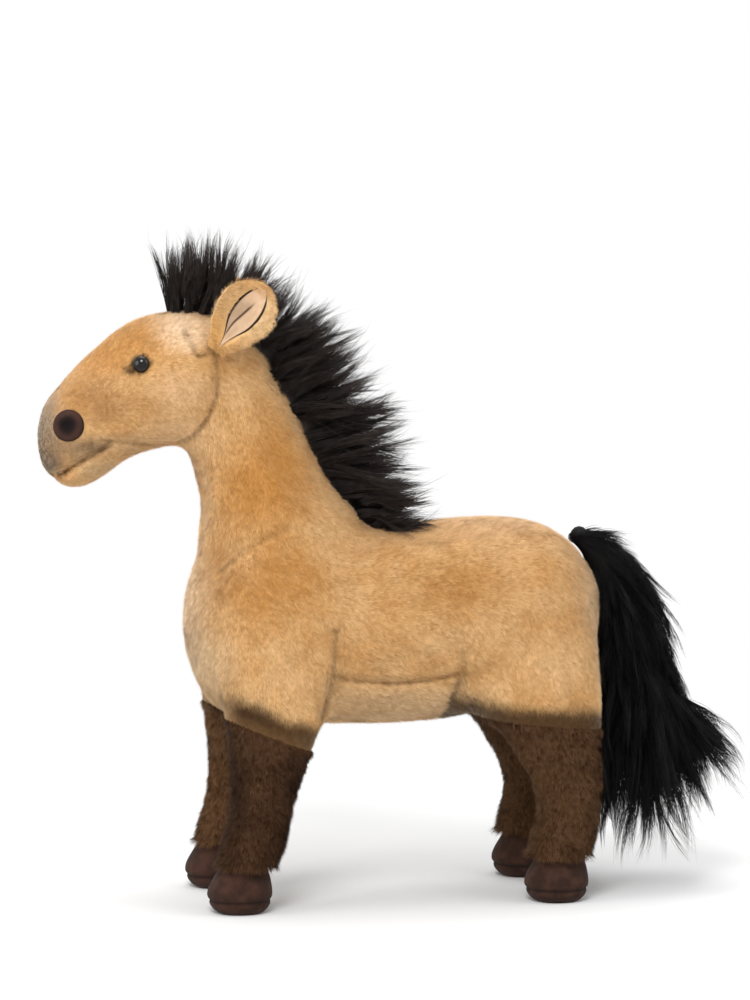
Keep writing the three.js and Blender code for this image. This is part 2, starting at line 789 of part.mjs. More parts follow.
function makeTail() {
  const tail = new THREE.Group();
  const spine = tailShares.map(([behind, above]) => new THREE.Vector3(
    tailPivot.x + tailLength * behind,
    0,
    tailPivot.z + tailLength * above,
  ));
  const rings = tailShares.map(([, , depthShare, widthShare], k) => {
    const before = spine[Math.max(k - 1, 0)];
    const after = spine[Math.min(k + 1, spine.length - 1)];
    const along = after.clone().sub(before).normalize();
    return outline({
      middle: spine[k],
      across: new THREE.Vector3(0, 1, 0),
      upward: new THREE.Vector3(-along.z, 0, along.x),
      halfAcross: (tailWidth / 2) * widthShare,
      halfUp: (tailDepth / 2) * depthShare,
      halfDown: (tailDepth / 2) * depthShare,
    }, hairSides);
  });
  const plume = solidOf(closedSurface(rings, spine[0], spine.at(-1)))
    .subtract(formSolid(trunkForm, seamGap + tailClearance))
    .subtract(solidOf(ball(dockDiameter + 2 * seamGap)));
  tail.add(piece('tail_dock', ball(dockDiameter), 'blackPile', tailPivot));
  tail.add(piece('tail_hair', geometryOf(plume), 'blackPile', tailPivot));
  return tail;
}

const legTop = bellyClearance + trunkHeight * legTopShare;

function legForm(rows, foot) {
  const bottom = legTop * rows[0][0];
  return levelForm({
    rows,
    origin: foot,
    bottom,
    rise: legTop,
    depth: legDepth,
    width: legWidth,
    lean: legSpread / 2,
    length: legTop - bottom,
    startRound: pileThickness + 2 * seamGap,
    endRound: legRound,
    sides: legSides,
    steps: legSteps,
  });
}

// A hoof has a flat sole, so its rings stand at the rows of its table
function hoofSolid(foot, spread) {
  const lift = Math.max(-spread, 0);
  const form = levelForm({
    rows: hoofShares,
    origin: foot,
    bottom: 0,
    rise: hoofHeight,
    depth: hoofLength,
    width: hoofWidth,
  });
  const heights = hoofShares.map(([share]) => Math.max(hoofHeight * share, lift));
  const levels = heights.filter((height, k) => k === 0 || height > heights[k - 1]);
  const rings = levels.map((height) => {
    const section = form.section(height);
    return outline({
      ...section,
      halfAcross: section.halfAcross + spread,
      halfUp: section.halfUp + spread,
      halfDown: section.halfDown + spread,
    }, legSides);
  });
  return solidOf(closedSurface(rings, form.section(levels[0]).middle, form.section(levels.at(-1)).middle));
}

function levelBlock(foot, from, to) {
  const reach = legSpread + legDepth + cutOverrun;
  return block(
    new THREE.Vector3(foot.x - reach, foot.y - reach, from),
    new THREE.Vector3(foot.x + reach, foot.y + reach, to),
  );
}

function makeLegPair(name, rows, footX, stockingFront, stockingBack) {
  const legs = new THREE.Group();
  const foot = new THREE.Vector3(footX, -legSpread / 2, 0);
  const form = legForm(rows, foot);
  const clear = (solid) => solid.subtract(trunkRoom).subtract(neckRoom);
  const skin = skinOf(form, pileThickness);
  const frontSection = form.section(stockingFront - form.bottom);
  const backSection = form.section(stockingBack - form.bottom);
  const front = frontSection.middle.x - frontSection.halfDown;
  const back = backSection.middle.x + backSection.halfUp;
  const slope = (stockingBack - stockingFront) / (back - front);
  const heightAt = (x) => stockingFront + slope * (x - front);
  const ahead = front - cutOverrun;
  const behind = back + cutOverrun;
  const aboveStocking = crossBlock([
    [ahead, heightAt(ahead) + seamGap],
    [behind, heightAt(behind) + seamGap],
    [behind, legTop + cutOverrun],
    [ahead, legTop + cutOverrun],
  ]);
  const belowStocking = crossBlock([
    [ahead, hoofHeight + seamGap],
    [behind, hoofHeight + seamGap],
    [behind, heightAt(behind)],
    [ahead, heightAt(ahead)],
  ]);
  const hoofSkin = hoofSolid(foot, 0).subtract(hoofSolid(foot, -suedeThickness));
  const wall = hoofSkin.intersect(levelBlock(foot, hoofSeamHeight + seamGap, hoofHeight));
  const sole = hoofSkin.intersect(levelBlock(foot, -hoofSeamHeight, hoofSeamHeight));
  const hoofFill = hoofSolid(foot, -suedeThickness - fillGap);
  const legFill = fillOf(form, pileThickness);
  const fill = clear(legFill
    .subtract(levelBlock(foot, -hoofHeight, hoofHeight))
    .add(hoofFill.subtract(levelBlock(foot, hoofHeight, 2 * hoofHeight))));
  legs.add(...pair(`${name}_upper_pelt`, geometryOf(clear(skin.intersect(aboveStocking))), 'tanPile', foot));
  legs.add(...pair(`${name}_stocking`, geometryOf(clear(skin.intersect(belowStocking))), 'brownPile', foot));
  legs.add(...pair(`${name}_hoof_wall`, geometryOf(wall), 'hoofSuede', foot));
  legs.add(...pair(`${name}_hoof_sole`, geometryOf(sole), 'hoofSuede', foot));
  legs.add(...pair(`${name}_leg_fill`, geometryOf(fill), 'fibreFill', foot));
  return legs;
}

// The horse stands on the floor with the origin under the middle of its bounding box
function makeHorse() {
  const horse = new THREE.Group();
  horse.add(
    makeTrunk(),
    makeNeck(),
    makeHead(),
    makeEars(),
    makeHair(),
    makeTail(),
    makeLegPair('fore', foreLegShares, foreLegInset, foreStockingFront, foreStockingBack),
    makeLegPair('hind', hindLegShares, trunkLength - hindLegInset, hindStockingFront, hindStockingBack),
  );
  const box = new THREE.Box3().setFromObject(horse);
  horse.position.set(-(box.min.x + box.max.x) / 2, -(box.min.y + box.max.y) / 2, -box.min.z);
  return horse;
}

export default makeHorse();
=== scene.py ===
"""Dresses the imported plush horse: sewn pile pelt, stockings, suede hooves, ears, eyes, black hair and the studio."""

from __future__ import annotations

import logging
import math
from collections.abc import Callable
from dataclasses import dataclass, field, replace
from enum import Enum

import bmesh
import bpy
import numpy as np
from bpy.types import Material, Mesh, Node, NodeSocket, NodeTree, Object, Scene, bpy_prop_collection
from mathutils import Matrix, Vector
from mathutils.bvhtree import BVHTree
from mathutils.kdtree import KDTree


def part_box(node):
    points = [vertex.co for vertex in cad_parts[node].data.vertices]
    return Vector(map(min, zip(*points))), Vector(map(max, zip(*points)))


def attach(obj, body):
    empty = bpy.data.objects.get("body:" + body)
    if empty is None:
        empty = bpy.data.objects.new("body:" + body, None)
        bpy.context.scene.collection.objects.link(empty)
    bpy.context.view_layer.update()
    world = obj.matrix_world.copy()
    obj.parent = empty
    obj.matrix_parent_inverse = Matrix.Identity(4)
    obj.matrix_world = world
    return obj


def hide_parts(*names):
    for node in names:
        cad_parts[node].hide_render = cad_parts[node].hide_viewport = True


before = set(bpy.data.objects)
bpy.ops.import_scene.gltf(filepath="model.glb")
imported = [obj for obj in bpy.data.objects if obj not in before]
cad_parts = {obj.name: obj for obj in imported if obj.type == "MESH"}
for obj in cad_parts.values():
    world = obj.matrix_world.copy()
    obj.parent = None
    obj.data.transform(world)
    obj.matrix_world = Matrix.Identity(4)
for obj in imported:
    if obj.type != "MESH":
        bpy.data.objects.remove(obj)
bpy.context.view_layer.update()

LOG = logging.getLogger("plush_horse")
MM = 0.001
ROOT_BODY = "stuffed_body"
UP = np.array((0.0, 0.0, 1.0))
Array = np.ndarray
Table = tuple[tuple[float, float], ...]
Place = tuple[float, float, float]
Tone = tuple[int, int, int]


class Side(Enum):
    """The horse's own sides; the value is the sign of y."""

    LEFT = -1
    RIGHT = 1

    @property
    def word(self) -> str:
        """The side's name in piece and node names."""
        return self.name.lower()


def unit(rows: Array) -> Array:
    """Scales vectors along the last axis to length one."""
    return rows / np.maximum(np.linalg.norm(rows, axis=-1, keepdims=True), 1e-12)


def smooth_step(low: float, high: float, value: Array) -> Array:
    """Eases values from 0 where they are low to 1 where they are high."""
    t = np.clip((value - low) / (high - low), 0.0, 1.0)
    return t * t * (3.0 - 2.0 * t)


def table_at(value: Array, table: Table) -> Array:
    """Reads a table of places and their values at places between its rows."""
    return np.interp(value, *np.array(table).T)


def side_gap(points: Array, x: float, z: float) -> Array:
    """Gives how far points in metres lie from x and z in mm, seen from the side, in mm."""
    return np.hypot(points[:, 0] / MM - x, points[:, 2] / MM - z)


def pointing(degrees: Array, aside: Array) -> Array:
    """Gives directions that rise by degrees from the horse's rear, with a part to its right."""
    return np.stack((np.cos(np.radians(degrees)), aside, np.sin(np.radians(degrees))), axis=1)


def disc_axes(face: Array) -> tuple[Array, Array]:
    """Gives two directions across a disc that faces a given way."""
    first = unit(np.cross(face, UP))
    return first, np.cross(first, face)


def linear(red: int, green: int, blue: int) -> tuple[float, float, float, float]:
    """Turns a display colour, each channel from 0 to 255, into the linear colour that shaders take."""
    shares = [channel / 255 for channel in (red, green, blue)]
    return (*(s / 12.92 if s <= 0.04045 else ((s + 0.055) / 1.055) ** 2.4 for s in shares), 1.0)


class Drift:
    """A smooth random field over space, for the way pile parts and clumps."""

    def __init__(self, seed: int, cell: float, channels: int = 3) -> None:
        """Draws the lattice.

        Args:
            seed: Seed of the random draws.
            cell: Size of one lattice cell in metres.
            channels: Number of values at each point.
        """
        self.cell = cell
        self.size = 64
        self.lattice = np.random.default_rng(seed).uniform(-1, 1, (self.size, self.size, self.size, channels))

    def at(self, points: Array) -> Array:
        """Reads the field.

        Args:
            points: Points in metres, one to a row.

        Returns:
            The values at each point, from -1 to 1.
        """
        place = points / self.cell
        base = np.floor(place).astype(int)
        part = place - base
        part = part * part * (3 - 2 * part)
        total = np.zeros((len(points), self.lattice.shape[3]))
        for corner in np.ndindex(2, 2, 2):
            weight = np.prod(np.where(corner, part, 1 - part), axis=1)
            spot = (base + corner) % self.size
            total += weight[:, None] * self.lattice[spot[:, 0], spot[:, 1], spot[:, 2]]
        return total


# Meshes


@dataclass
class Skin:
    """A surface of vertices and faces that pile is set on."""

    points: Array
    faces: Array

    @classmethod
    def from_mesh(cls, mesh: Mesh) -> Skin:
        """Reads a mesh of any faces as triangles."""
        mesh.calc_loop_triangles()
        return cls(get_points(mesh), rows_of(mesh.loop_triangles, "vertices", 3, int))

    def corners(self) -> Array:
        """Gives the three corner points of each face."""
        return self.points[self.faces]

    def face_areas(self) -> Array:
        """Gives the area of each face in square metres."""
        a, b, c = np.moveaxis(self.corners(), 1, 0)
        return np.linalg.norm(np.cross(b - a, c - a), axis=1) / 2

    def normals(self) -> Array:
        """Gives the outward direction at each vertex.

        Returns:
            Directions of length one.
        """
        a, b, c = np.moveaxis(self.corners(), 1, 0)
        turned = np.cross(b - a, c - a)
        total = np.zeros_like(self.points)
        for k in range(3):
            for axis in range(3):
                total[:, axis] += np.bincount(self.faces[:, k], turned[:, axis], len(self.points))
        return unit(total)

    def part(self, keep: Array) -> Skin:
        """Gives the same surface with only the faces marked true."""
        return Skin(self.points, self.faces[keep])

    def tree(self) -> BVHTree:
        """Gives a search tree for rays and nearest points."""
        return BVHTree.FromPolygons(self.points.tolist(), self.faces.tolist())


def relaxed(points: Array, edges: Array, steps: int, amount: Array | float = 1.0) -> Array:
    """Moves each point towards the mean of its neighbours.

    Args:
        points: Points in metres.
        edges: Pairs of point numbers.
        steps: Number of passes.
        amount: Share of the way moved in each pass.

    Returns:
        The moved points.
    """
    ends = np.concatenate((edges[:, 0], edges[:, 1]))
    others = np.concatenate((edges[:, 1], edges[:, 0]))
    count = np.maximum(np.bincount(ends, minlength=len(points)), 1)[:, None]
    moved = points.copy()
    for _ in range(steps):
        mean = np.stack([np.bincount(ends, moved[others, k], len(points)) for k in range(3)], axis=1) / count
        moved += (mean - moved) * amount
    return moved


def faired(points: Array, edges: Array, steps: int) -> Array:
    """Smooths facets away in a number of passes, and gives back the girth that smoothing takes."""
    soft = relaxed(points, edges, steps)
    return soft + relaxed(points - soft, edges, steps)


def rows_of(items: bpy_prop_collection, name: str, width: int, kind: type = float) -> Array:
    """Reads one property of all of a mesh's points, edges or triangles.

    Args:
        items: What is read.
        name: Name of the property.
        width: Numbers to an item.
        kind: Type of number.

    Returns:
        A row to an item.
    """
    values = np.zeros(len(items) * width, kind)
    items.foreach_get(name, values)
    return values.reshape(-1, width)


def get_points(mesh: Mesh) -> Array:
    """Reads the places of a mesh's vertices in metres."""
    return rows_of(mesh.vertices, "co", 3)


def mesh_edges(mesh: Mesh) -> Array:
    """Gives a mesh's edges as pairs of point numbers."""
    return rows_of(mesh.edges, "vertices", 2, int)


def set_points(mesh: Mesh, points: Array) -> None:
    """Writes new places into a mesh's vertices."""
    mesh.vertices.foreach_set("co", points.astype(np.float32).ravel())
    mesh.update()


def build_mesh(name: str, points: Array, faces: Array) -> Mesh:
    """Makes a mesh from arrays, with every face of the same number of corners.

    Args:
        name: Name of the mesh.
        points: Points in metres.
        faces: Point numbers, one face to a row.

    Returns:
        The new mesh.
    """
    mesh = bpy.data.meshes.new(name)
    rows, corners = faces.shape
    mesh.vertices.add(len(points))
    mesh.vertices.foreach_set("co", points.astype(np.float32).ravel())
    mesh.loops.add(rows * corners)
    mesh.loops.foreach_set("vertex_index", faces.astype(np.int32).ravel())
    mesh.polygons.add(rows)
    mesh.polygons.foreach_set("loop_start", np.arange(0, rows * corners, corners, dtype=np.int32))
    mesh.update(calc_edges=True)
    return mesh


def add_values(mesh: Mesh, name: str, values: Array) -> None:
    """Stores one number at each vertex, which the materials ask for by its name."""
    attribute = mesh.attributes.new(name, "FLOAT", "POINT")
    attribute.data.foreach_set("value", values.astype(np.float32))


def show(name: str, mesh: Mesh, material: Material) -> Object:
    """Puts a mesh in the scene as a piece with a material.

    Args:
        name: Name of the piece.
        mesh: Its mesh.
        material: Its finish.

    Returns:
        The new object.
    """
    piece = bpy.data.objects.new(name, mesh)
    wear(mesh, material)
    bpy.context.scene.collection.objects.link(piece)
    return piece


def wear(mesh: Mesh, material: Material) -> None:
    """Gives a mesh one finish."""
    mesh.materials.clear()
    mesh.materials.append(material)


def shade_smooth(mesh: Mesh) -> None:
    """Shades every face of a mesh smooth."""
    mesh.polygons.foreach_set("use_smooth", np.ones(len(mesh.polygons), bool))


def grid_faces(rows: int, columns: int, closed: bool = False) -> Array:
    """Gives the squares of a grid of points that are numbered row by row.

    Args:
        rows: Number of rows.
        columns: Number of points in a row.
        closed: Whether the last column joins the first.

    Returns:
        Four point numbers to a square.
    """
    grid = np.arange(rows * columns).reshape(rows, columns)
    right = np.roll(grid, -1, axis=1)
    if not closed:
        grid, right = grid[:, :-1], right[:, :-1]
    return np.stack((grid[:-1], right[:-1], right[1:], grid[1:]), axis=-1).reshape(-1, 4)


def outward_mesh(name: str, points: Array, faces: list, merge: float = 0.0, first_way: Array | None = None) -> Mesh:
    """Makes a smooth mesh whose faces look outwards.

    Args:
        name: Name of the mesh.
        points: Points in metres.
        faces: Point numbers of each face.
        merge: Distance in metres within which points become one.
        first_way: Where given, the way that the first face of an open mesh looks.

    Returns:
        The new mesh.
    """
    mesh = bpy.data.meshes.new(name)
    mesh.from_pydata(points.tolist(), [], faces)
    work = bmesh.new()
    work.from_mesh(mesh)
    if merge:
        bmesh.ops.remove_doubles(work, verts=work.verts, dist=merge)
    bmesh.ops.recalc_face_normals(work, faces=work.faces)
    work.faces.ensure_lookup_table()
    if first_way is not None and work.faces[0].normal.dot(Vector(first_way)) < 0:
        bmesh.ops.reverse_faces(work, faces=work.faces)
    work.to_mesh(mesh)
    work.free()
    shade_smooth(mesh)
    return mesh


def bisect(work: bmesh.types.BMesh, picked: list, place: Vector, normal: Vector, clear: bool = False) -> None:
    """Cuts picked faces of a mesh along a plane, and clears what lies behind it on request."""
    around = list({item for face in picked for item in (*face.verts, *face.edges)}) + picked
    bmesh.ops.bisect_plane(work, geom=around, plane_co=place, plane_no=normal, clear_inner=clear)


def remeshed(nodes: list[str], voxel: float, spread: float) -> Mesh:
    """Joins the outsides of CAD nodes into one even skin.

    Args:
        nodes: Names of the CAD nodes.
        voxel: Size of the new mesh's squares in metres.
        spread: How far each solid grows first, so that seams close.

    Returns:
        A new mesh of squares.
    """
    gathered = bmesh.new()
    for node in nodes:
        gathered.from_mesh(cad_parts[node].data)
    bmesh.ops.remove_doubles(gathered, verts=gathered.verts, dist=1e-6)
    gathered.normal_update()
    for vert in gathered.verts:
        vert.co += vert.normal * spread
    source = bpy.data.meshes.new("skin_source")
    gathered.to_mesh(source)
    gathered.free()
    return voxelled(source, voxel)


def voxelled(source: Mesh, voxel: float) -> Mesh:
    """Remeshes a mesh into even squares.

    Args:
        source: Mesh to read.
        voxel: Size of the squares in metres.

    Returns:
        A new mesh.
    """
    helper = bpy.data.objects.new("skin_helper", source)
    bpy.context.scene.collection.objects.link(helper)
    remesh = helper.modifiers.new("remesh", "REMESH")
    remesh.mode = "VOXEL"
    remesh.voxel_size = voxel
    graph = bpy.context.evaluated_depsgraph_get()
    result = bpy.data.meshes.new_from_object(helper.evaluated_get(graph), depsgraph=graph)
    bpy.data.objects.remove(helper)
    return result


def distance_to_line(points: Array, line: Array) -> Array:
    """Measures how far points lie from a line of straight runs.

    Args:
        points: Points in metres.
        line: The line's own points.

    Returns:
        The shortest distance of each point.
    """
    best = np.full(len(points), np.inf)
    for start, end in zip(line[:-1], line[1:]):
        run = end - start
        share = np.clip(((points - start) @ run) / max(run @ run, 1e-15), 0, 1)
        best = np.minimum(best, np.linalg.norm(points - start - share[:, None] * run, axis=1))
    return best


def spaced(line: Array, count: int = 0, step: float = 1.0) -> Array:
    """Sets points along a line at even distances.

    Args:
        line: The line's own points.
        count: Number of new points, or 0 to go by the step.
        step: About the distance between new points.

    Returns:
        The new points.
    """
    reach = np.concatenate(([0.0], np.cumsum(np.linalg.norm(np.diff(line, axis=0), axis=1))))
    marks = np.linspace(0, reach[-1], count or max(int(reach[-1] / step), 2) + 1)
    return np.stack([np.interp(marks, reach, line[:, k]) for k in range(line.shape[1])], axis=1)


class Neighbours:
    """Finds the nearest of a set of points."""

    def __init__(self, points: Array) -> None:
        """Builds the search tree.

        Args:
            points: The points that are found later.
        """
        self.tree = KDTree(len(points))
        for index, spot in enumerate(points):
            self.tree.insert(spot, index)
        self.tree.balance()

    def nearest(self, points: Array) -> Array:
        """Gives the number of the nearest point to each point."""
        return np.array([self.tree.find(spot)[1] for spot in points])

    def carried(self, values: Array, points: Array, count: int) -> Array:
        """Carries values over to other points, weighted by nearness.

        Args:
            values: A row of values to each point of the tree.
            points: Points that get values.
            count: Number of neighbours that each takes them from.

        Returns:
            A row of values to each point.
        """
        result = np.zeros((len(points), values.shape[1]))
        for index, spot in enumerate(points):
            total = 0.0
            for _, other, gap in self.tree.find_n(spot, count):
                weight = 1 / (gap + MM) ** 2
                result[index] += weight * values[other]
                total += weight
            result[index] /= total
        return result


# Node boards


class Board:
    """Adds nodes to a node tree and links them by short calls."""

    def __init__(self, tree: NodeTree) -> None:
        """Keeps the tree and clears it."""
        self.tree = tree
        tree.nodes.clear()

    def add(self, kind: str, inputs: dict[str | int, object] | None = None, **settings: object) -> Node:
        """Adds one node.

        Args:
            kind: The node's type name.
            inputs: Values or sockets for its inputs, by name or number.
            **settings: Other properties of the node.

        Returns:
            The new node.
        """
        node = self.tree.nodes.new(kind)
        for key, value in settings.items():
            setattr(node, key, value)
        for key, value in (inputs or {}).items():
            if isinstance(value, NodeSocket):
                self.tree.links.new(value, node.inputs[key])
            else:
                node.inputs[key].default_value = value
        return node

    def maths(self, operation: str, *values: object, clamp: bool = False) -> NodeSocket:
        """Adds a maths node on numbers or sockets and gives its result, held from 0 to 1 on request."""
        node = self.add("ShaderNodeMath", dict(enumerate(values)), operation=operation, use_clamp=clamp)
        return node.outputs[0]

    def vector(self, operation: str, *values: object) -> Node:
        """Adds a vector maths node on vectors or sockets."""
        return self.add("ShaderNodeVectorMath", dict(enumerate(values)), operation=operation)

    def mix(self, factor: object, first: object, second: object, blend: str = "MIX") -> NodeSocket:
        """Mixes a first and a second colour, by the share of the second, and gives the result."""
        inputs = {"Factor": factor, 6: first, 7: second}
        return self.add("ShaderNodeMix", inputs, data_type="RGBA", blend_type=blend).outputs[2]

    def noise(self, vector: object, scale: object, detail: float = 2.0, rough: float = 0.5) -> NodeSocket:
        """Gives a noise from 0 to 1, with so many cells to a metre, finer layers and strength of those."""
        node = self.add("ShaderNodeTexNoise", {"Vector": vector, "Scale": scale, "Detail": detail, "Roughness": rough})
        return node.outputs["Fac"]

    def ramp(self, value: object, low: float, high: float, start: float = 0.0, end: float = 1.0) -> NodeSocket:
        """Maps values from low to high to those from start to end, with eased ends."""
        inputs = {0: value, 1: low, 2: high, 3: start, 4: end}
        return self.add("ShaderNodeMapRange", inputs, interpolation_type="SMOOTHSTEP").outputs[0]

    def attribute(self, name: str) -> NodeSocket:
        """Reads a number stored at the vertices."""
        return self.add("ShaderNodeAttribute", attribute_name=name).outputs["Fac"]

    def place(self) -> NodeSocket:
        """Gives the point in the object's own frame."""
        return self.add("ShaderNodeTexCoord").outputs["Object"]

    def seen_directly(self) -> NodeSocket:
        """Tells rays that show a thing to the camera, also by gloss or through it, from rays that light others.

        Returns:
            The socket of the mask.
        """
        seen = self.add("ShaderNodeLightPath").outputs
        onward = self.maths("MAXIMUM", seen["Is Glossy Ray"], seen["Is Transmission Ray"])
        return self.maths("MAXIMUM", seen["Is Camera Ray"], onward)


GROUPS: dict[str, NodeTree] = {}


def new_group(name: str, inputs: list[tuple[str, str, object]], outputs: list[tuple[str, str]]) -> Board:
    """Starts a shader node group with named sockets.

    Args:
        name: Name of the group.
        inputs: Name, socket type and default of each input.
        outputs: Name and socket type of each output.

    Returns:
        A board on the group's empty tree.
    """
    tree = bpy.data.node_groups.new(name, "ShaderNodeTree")
    for label, kind, default in inputs:
        socket = tree.interface.new_socket(label, in_out="INPUT", socket_type=kind)
        socket.default_value = default
    for label, kind in outputs:
        tree.interface.new_socket(label, in_out="OUTPUT", socket_type=kind)
    board = Board(tree)
    GROUPS[name] = tree
    return board


COLOUR = "NodeSocketColor"
NUMBER = "NodeSocketFloat"
POINT = "NodeSocketVector"
ORIGIN = (0, 0, 0)
GREY = (0.5, 0.5, 0.5, 1.0)
# Colour of the painted shade in seams and creases, where the pile parts, over the seams' own dark joints.
SEAM_SHADE = (0.26, 0.17, 0.11, 1)


def airbrush_group() -> None:
    """Builds the soft oval mask, for sprayed colour and for painted light and shade, that the pelt and stockings share.
    """
    board = new_group(
        "Airbrush",
        [("Point", POINT, ORIGIN), ("Centre", POINT, ORIGIN), ("Reach", POINT, (1, 1, 1)),
         ("Ragged", NUMBER, 0.3), ("Strength", NUMBER, 1.0)],
        [("Mask", NUMBER)],
    )
    given = board.add("NodeGroupInput").outputs
    away = board.vector("SUBTRACT", given["Point"], given["Centre"]).outputs[0]
    length = board.vector("LENGTH", board.vector("DIVIDE", away, given["Reach"]).outputs[0]).outputs["Value"]
    grain = board.maths("SUBTRACT", board.noise(given["Point"], 260.0, 3.0, 0.6), 0.5)
    rough = board.maths("ADD", length, board.maths("MULTIPLY", grain, given["Ragged"]))
    mask = board.maths("MULTIPLY", board.ramp(rough, 0.25, 1.0, 1.0, 0.0), given["Strength"], clamp=True)
    board.add("NodeGroupOutput", {"Mask": mask})


def pile_tone_group() -> None:
    """Builds the change of a pile colour from root to tip, strand to strand and clump to clump, with painted shade at
    roots and seams.
    """
    board = new_group(
        "Pile tone",
        [("Colour", COLOUR, GREY), ("Point", POINT, ORIGIN), ("Along", NUMBER, 0.5), ("Strand", NUMBER, 0.5),
         ("Seam", NUMBER, 0.0), ("Root shade", NUMBER, 0.6), ("Strand spread", NUMBER, 0.2), ("Mottle", NUMBER, 0.2)],
        [("Colour", COLOUR)],
    )
    given = board.add("NodeGroupInput").outputs
    clump = board.noise(given["Point"], 560.0, 3.0, 0.6)
    cloud = board.noise(given["Point"], 90.0, 2.0, 0.5)
    unrest = board.maths("ADD", board.maths("MULTIPLY", clump, 0.62), board.maths("MULTIPLY", cloud, 0.38))
    mottle = board.maths("MULTIPLY", board.maths("SUBTRACT", unrest, 0.5), given["Mottle"])
    strand = board.maths("MULTIPLY", board.maths("SUBTRACT", given["Strand"], 0.5), given["Strand spread"])
    # Painted shade: the roots darken, as if shaded by the strands above them.
    low_down = board.ramp(given["Along"], 0.0, 0.75, 1.0, 0.0)
    root = board.maths("MULTIPLY", low_down, board.maths("SUBTRACT", 1.0, given["Root shade"]))
    level = board.maths("SUBTRACT", board.maths("ADD", 1.0, board.maths("ADD", mottle, strand)), root)
    green, blue = board.maths("POWER", level, 1.25), board.maths("POWER", level, 1.7)
    shade = board.add("ShaderNodeCombineColor", {0: level, 1: green, 2: blue}).outputs[0]
    toned = board.mix(1.0, given["Colour"], shade, "MULTIPLY")
    # Painted shade along the seams and creases, where the pile parts, over the seams' own dark joints.
    sewn = board.mix(1.0, toned, SEAM_SHADE, "MULTIPLY")
    board.add("NodeGroupOutput", {"Colour": board.mix(board.maths("MULTIPLY", given["Seam"], 0.92), toned, sewn)})


def nap_group() -> None:
    """Builds the fine rubbed grain of suede and felt."""
    board = new_group(
        "Rubbed nap",
        [("Point", POINT, ORIGIN), ("Grain", NUMBER, 2500.0), ("Rubbing", NUMBER, 160.0)],
        [("Height", NUMBER), ("Rubbed", NUMBER)],
    )
    given = board.add("NodeGroupInput").outputs
    fine = board.noise(given["Point"], given["Grain"], 4.0, 0.65)
    rubbed = board.ramp(board.noise(given["Point"], given["Rubbing"], 3.0, 0.55), 0.35, 0.7)
    board.add("NodeGroupOutput", {"Height": fine, "Rubbed": rubbed})


def new_material(name: str) -> tuple[Material, Board]:
    """Starts a material.

    Args:
        name: Name of the material.

    Returns:
        The material and a board on its empty tree.
    """
    material = bpy.data.materials.new(name)
    material.use_nodes = True
    return material, Board(material.node_tree)


def finish_material(board: Board, **sockets: object) -> None:
    """Adds the surface shader, with values or sockets named with _ for a space, and the output."""
    shader = board.add("ShaderNodeBsdfPrincipled", {key.replace("_", " "): value for key, value in sockets.items()})
    board.add("ShaderNodeOutputMaterial", {"Surface": shader.outputs[0]})


def use_group(board: Board, name: str, **inputs: object) -> Node:
    """Places a shared node group, with values or sockets for its inputs named with _ for a space."""
    spaced_names = {key.replace("_", " "): value for key, value in inputs.items()}
    return board.add("ShaderNodeGroup", spaced_names, node_tree=GROUPS[name])


@dataclass(frozen=True)
class Spray:
    """One soft oval of colour over the pile, some sprayed and some painted light and shade: centre and reach in mm."""

    centre: Place
    reach: Place
    colour: Tone
    strength: float = 1.0
    ragged: float = 0.3


@dataclass(frozen=True)
class PileFinish:
    """A plush pile's colours and how much they vary."""

    name: str
    colour: Tone
    second: Tone
    sprays: tuple[Spray, ...] = ()
    root_shade: float = 0.62
    strand_spread: float = 0.3
    mottle: float = 0.5
    roughness: float = 0.75
    sheen: float = 0.0
    cloud_scale: float = 55.0
    # Colour of the dark airbrush, also used for the painted shade along the leg creases
    soot: Tone = (62, 39, 21)
    sheen_tint: tuple[float, float, float, float] = (1.0, 0.86, 0.66, 1.0)

    def material(self) -> Material:
        """Builds the pile's material.

        Returns:
            The new material.
        """
        material, board = new_material(self.name)
        place = board.place()
        cloud = board.ramp(board.noise(place, self.cloud_scale, 3.0, 0.55), 0.36, 0.64)
        colour = board.mix(cloud, linear(*self.colour), linear(*self.second))
        for colour_oval in self.sprays:
            mask = use_group(
                board, "Airbrush", Point=place, Centre=[c * MM for c in colour_oval.centre],
                Reach=[r * MM for r in colour_oval.reach], Ragged=colour_oval.ragged, Strength=colour_oval.strength,
            ).outputs["Mask"]
            colour = board.mix(mask, colour, linear(*colour_oval.colour))
        # Darkens towards the airbrush colour at the stockings' tops and round the eyes, and as painted shade along the
        # leg creases
        colour = board.mix(board.attribute("soot"), colour, linear(*self.soot))
        toned = use_group(
            board, "Pile tone", Colour=colour, Point=place, Along=board.attribute("along"),
            Strand=board.attribute("tone"), Seam=board.attribute("seam"), Root_shade=self.root_shade,
            Strand_spread=self.strand_spread, Mottle=self.mottle,
        ).outputs["Colour"]
        bloom = {"Sheen_Weight": self.sheen, "Sheen_Roughness": 0.45, "Sheen_Tint": self.sheen_tint}
        bloom = bloom if self.sheen else {}
        finish_material(board, Base_Color=toned, Roughness=self.roughness, Specular_IOR_Level=0.08, **bloom)
        return material


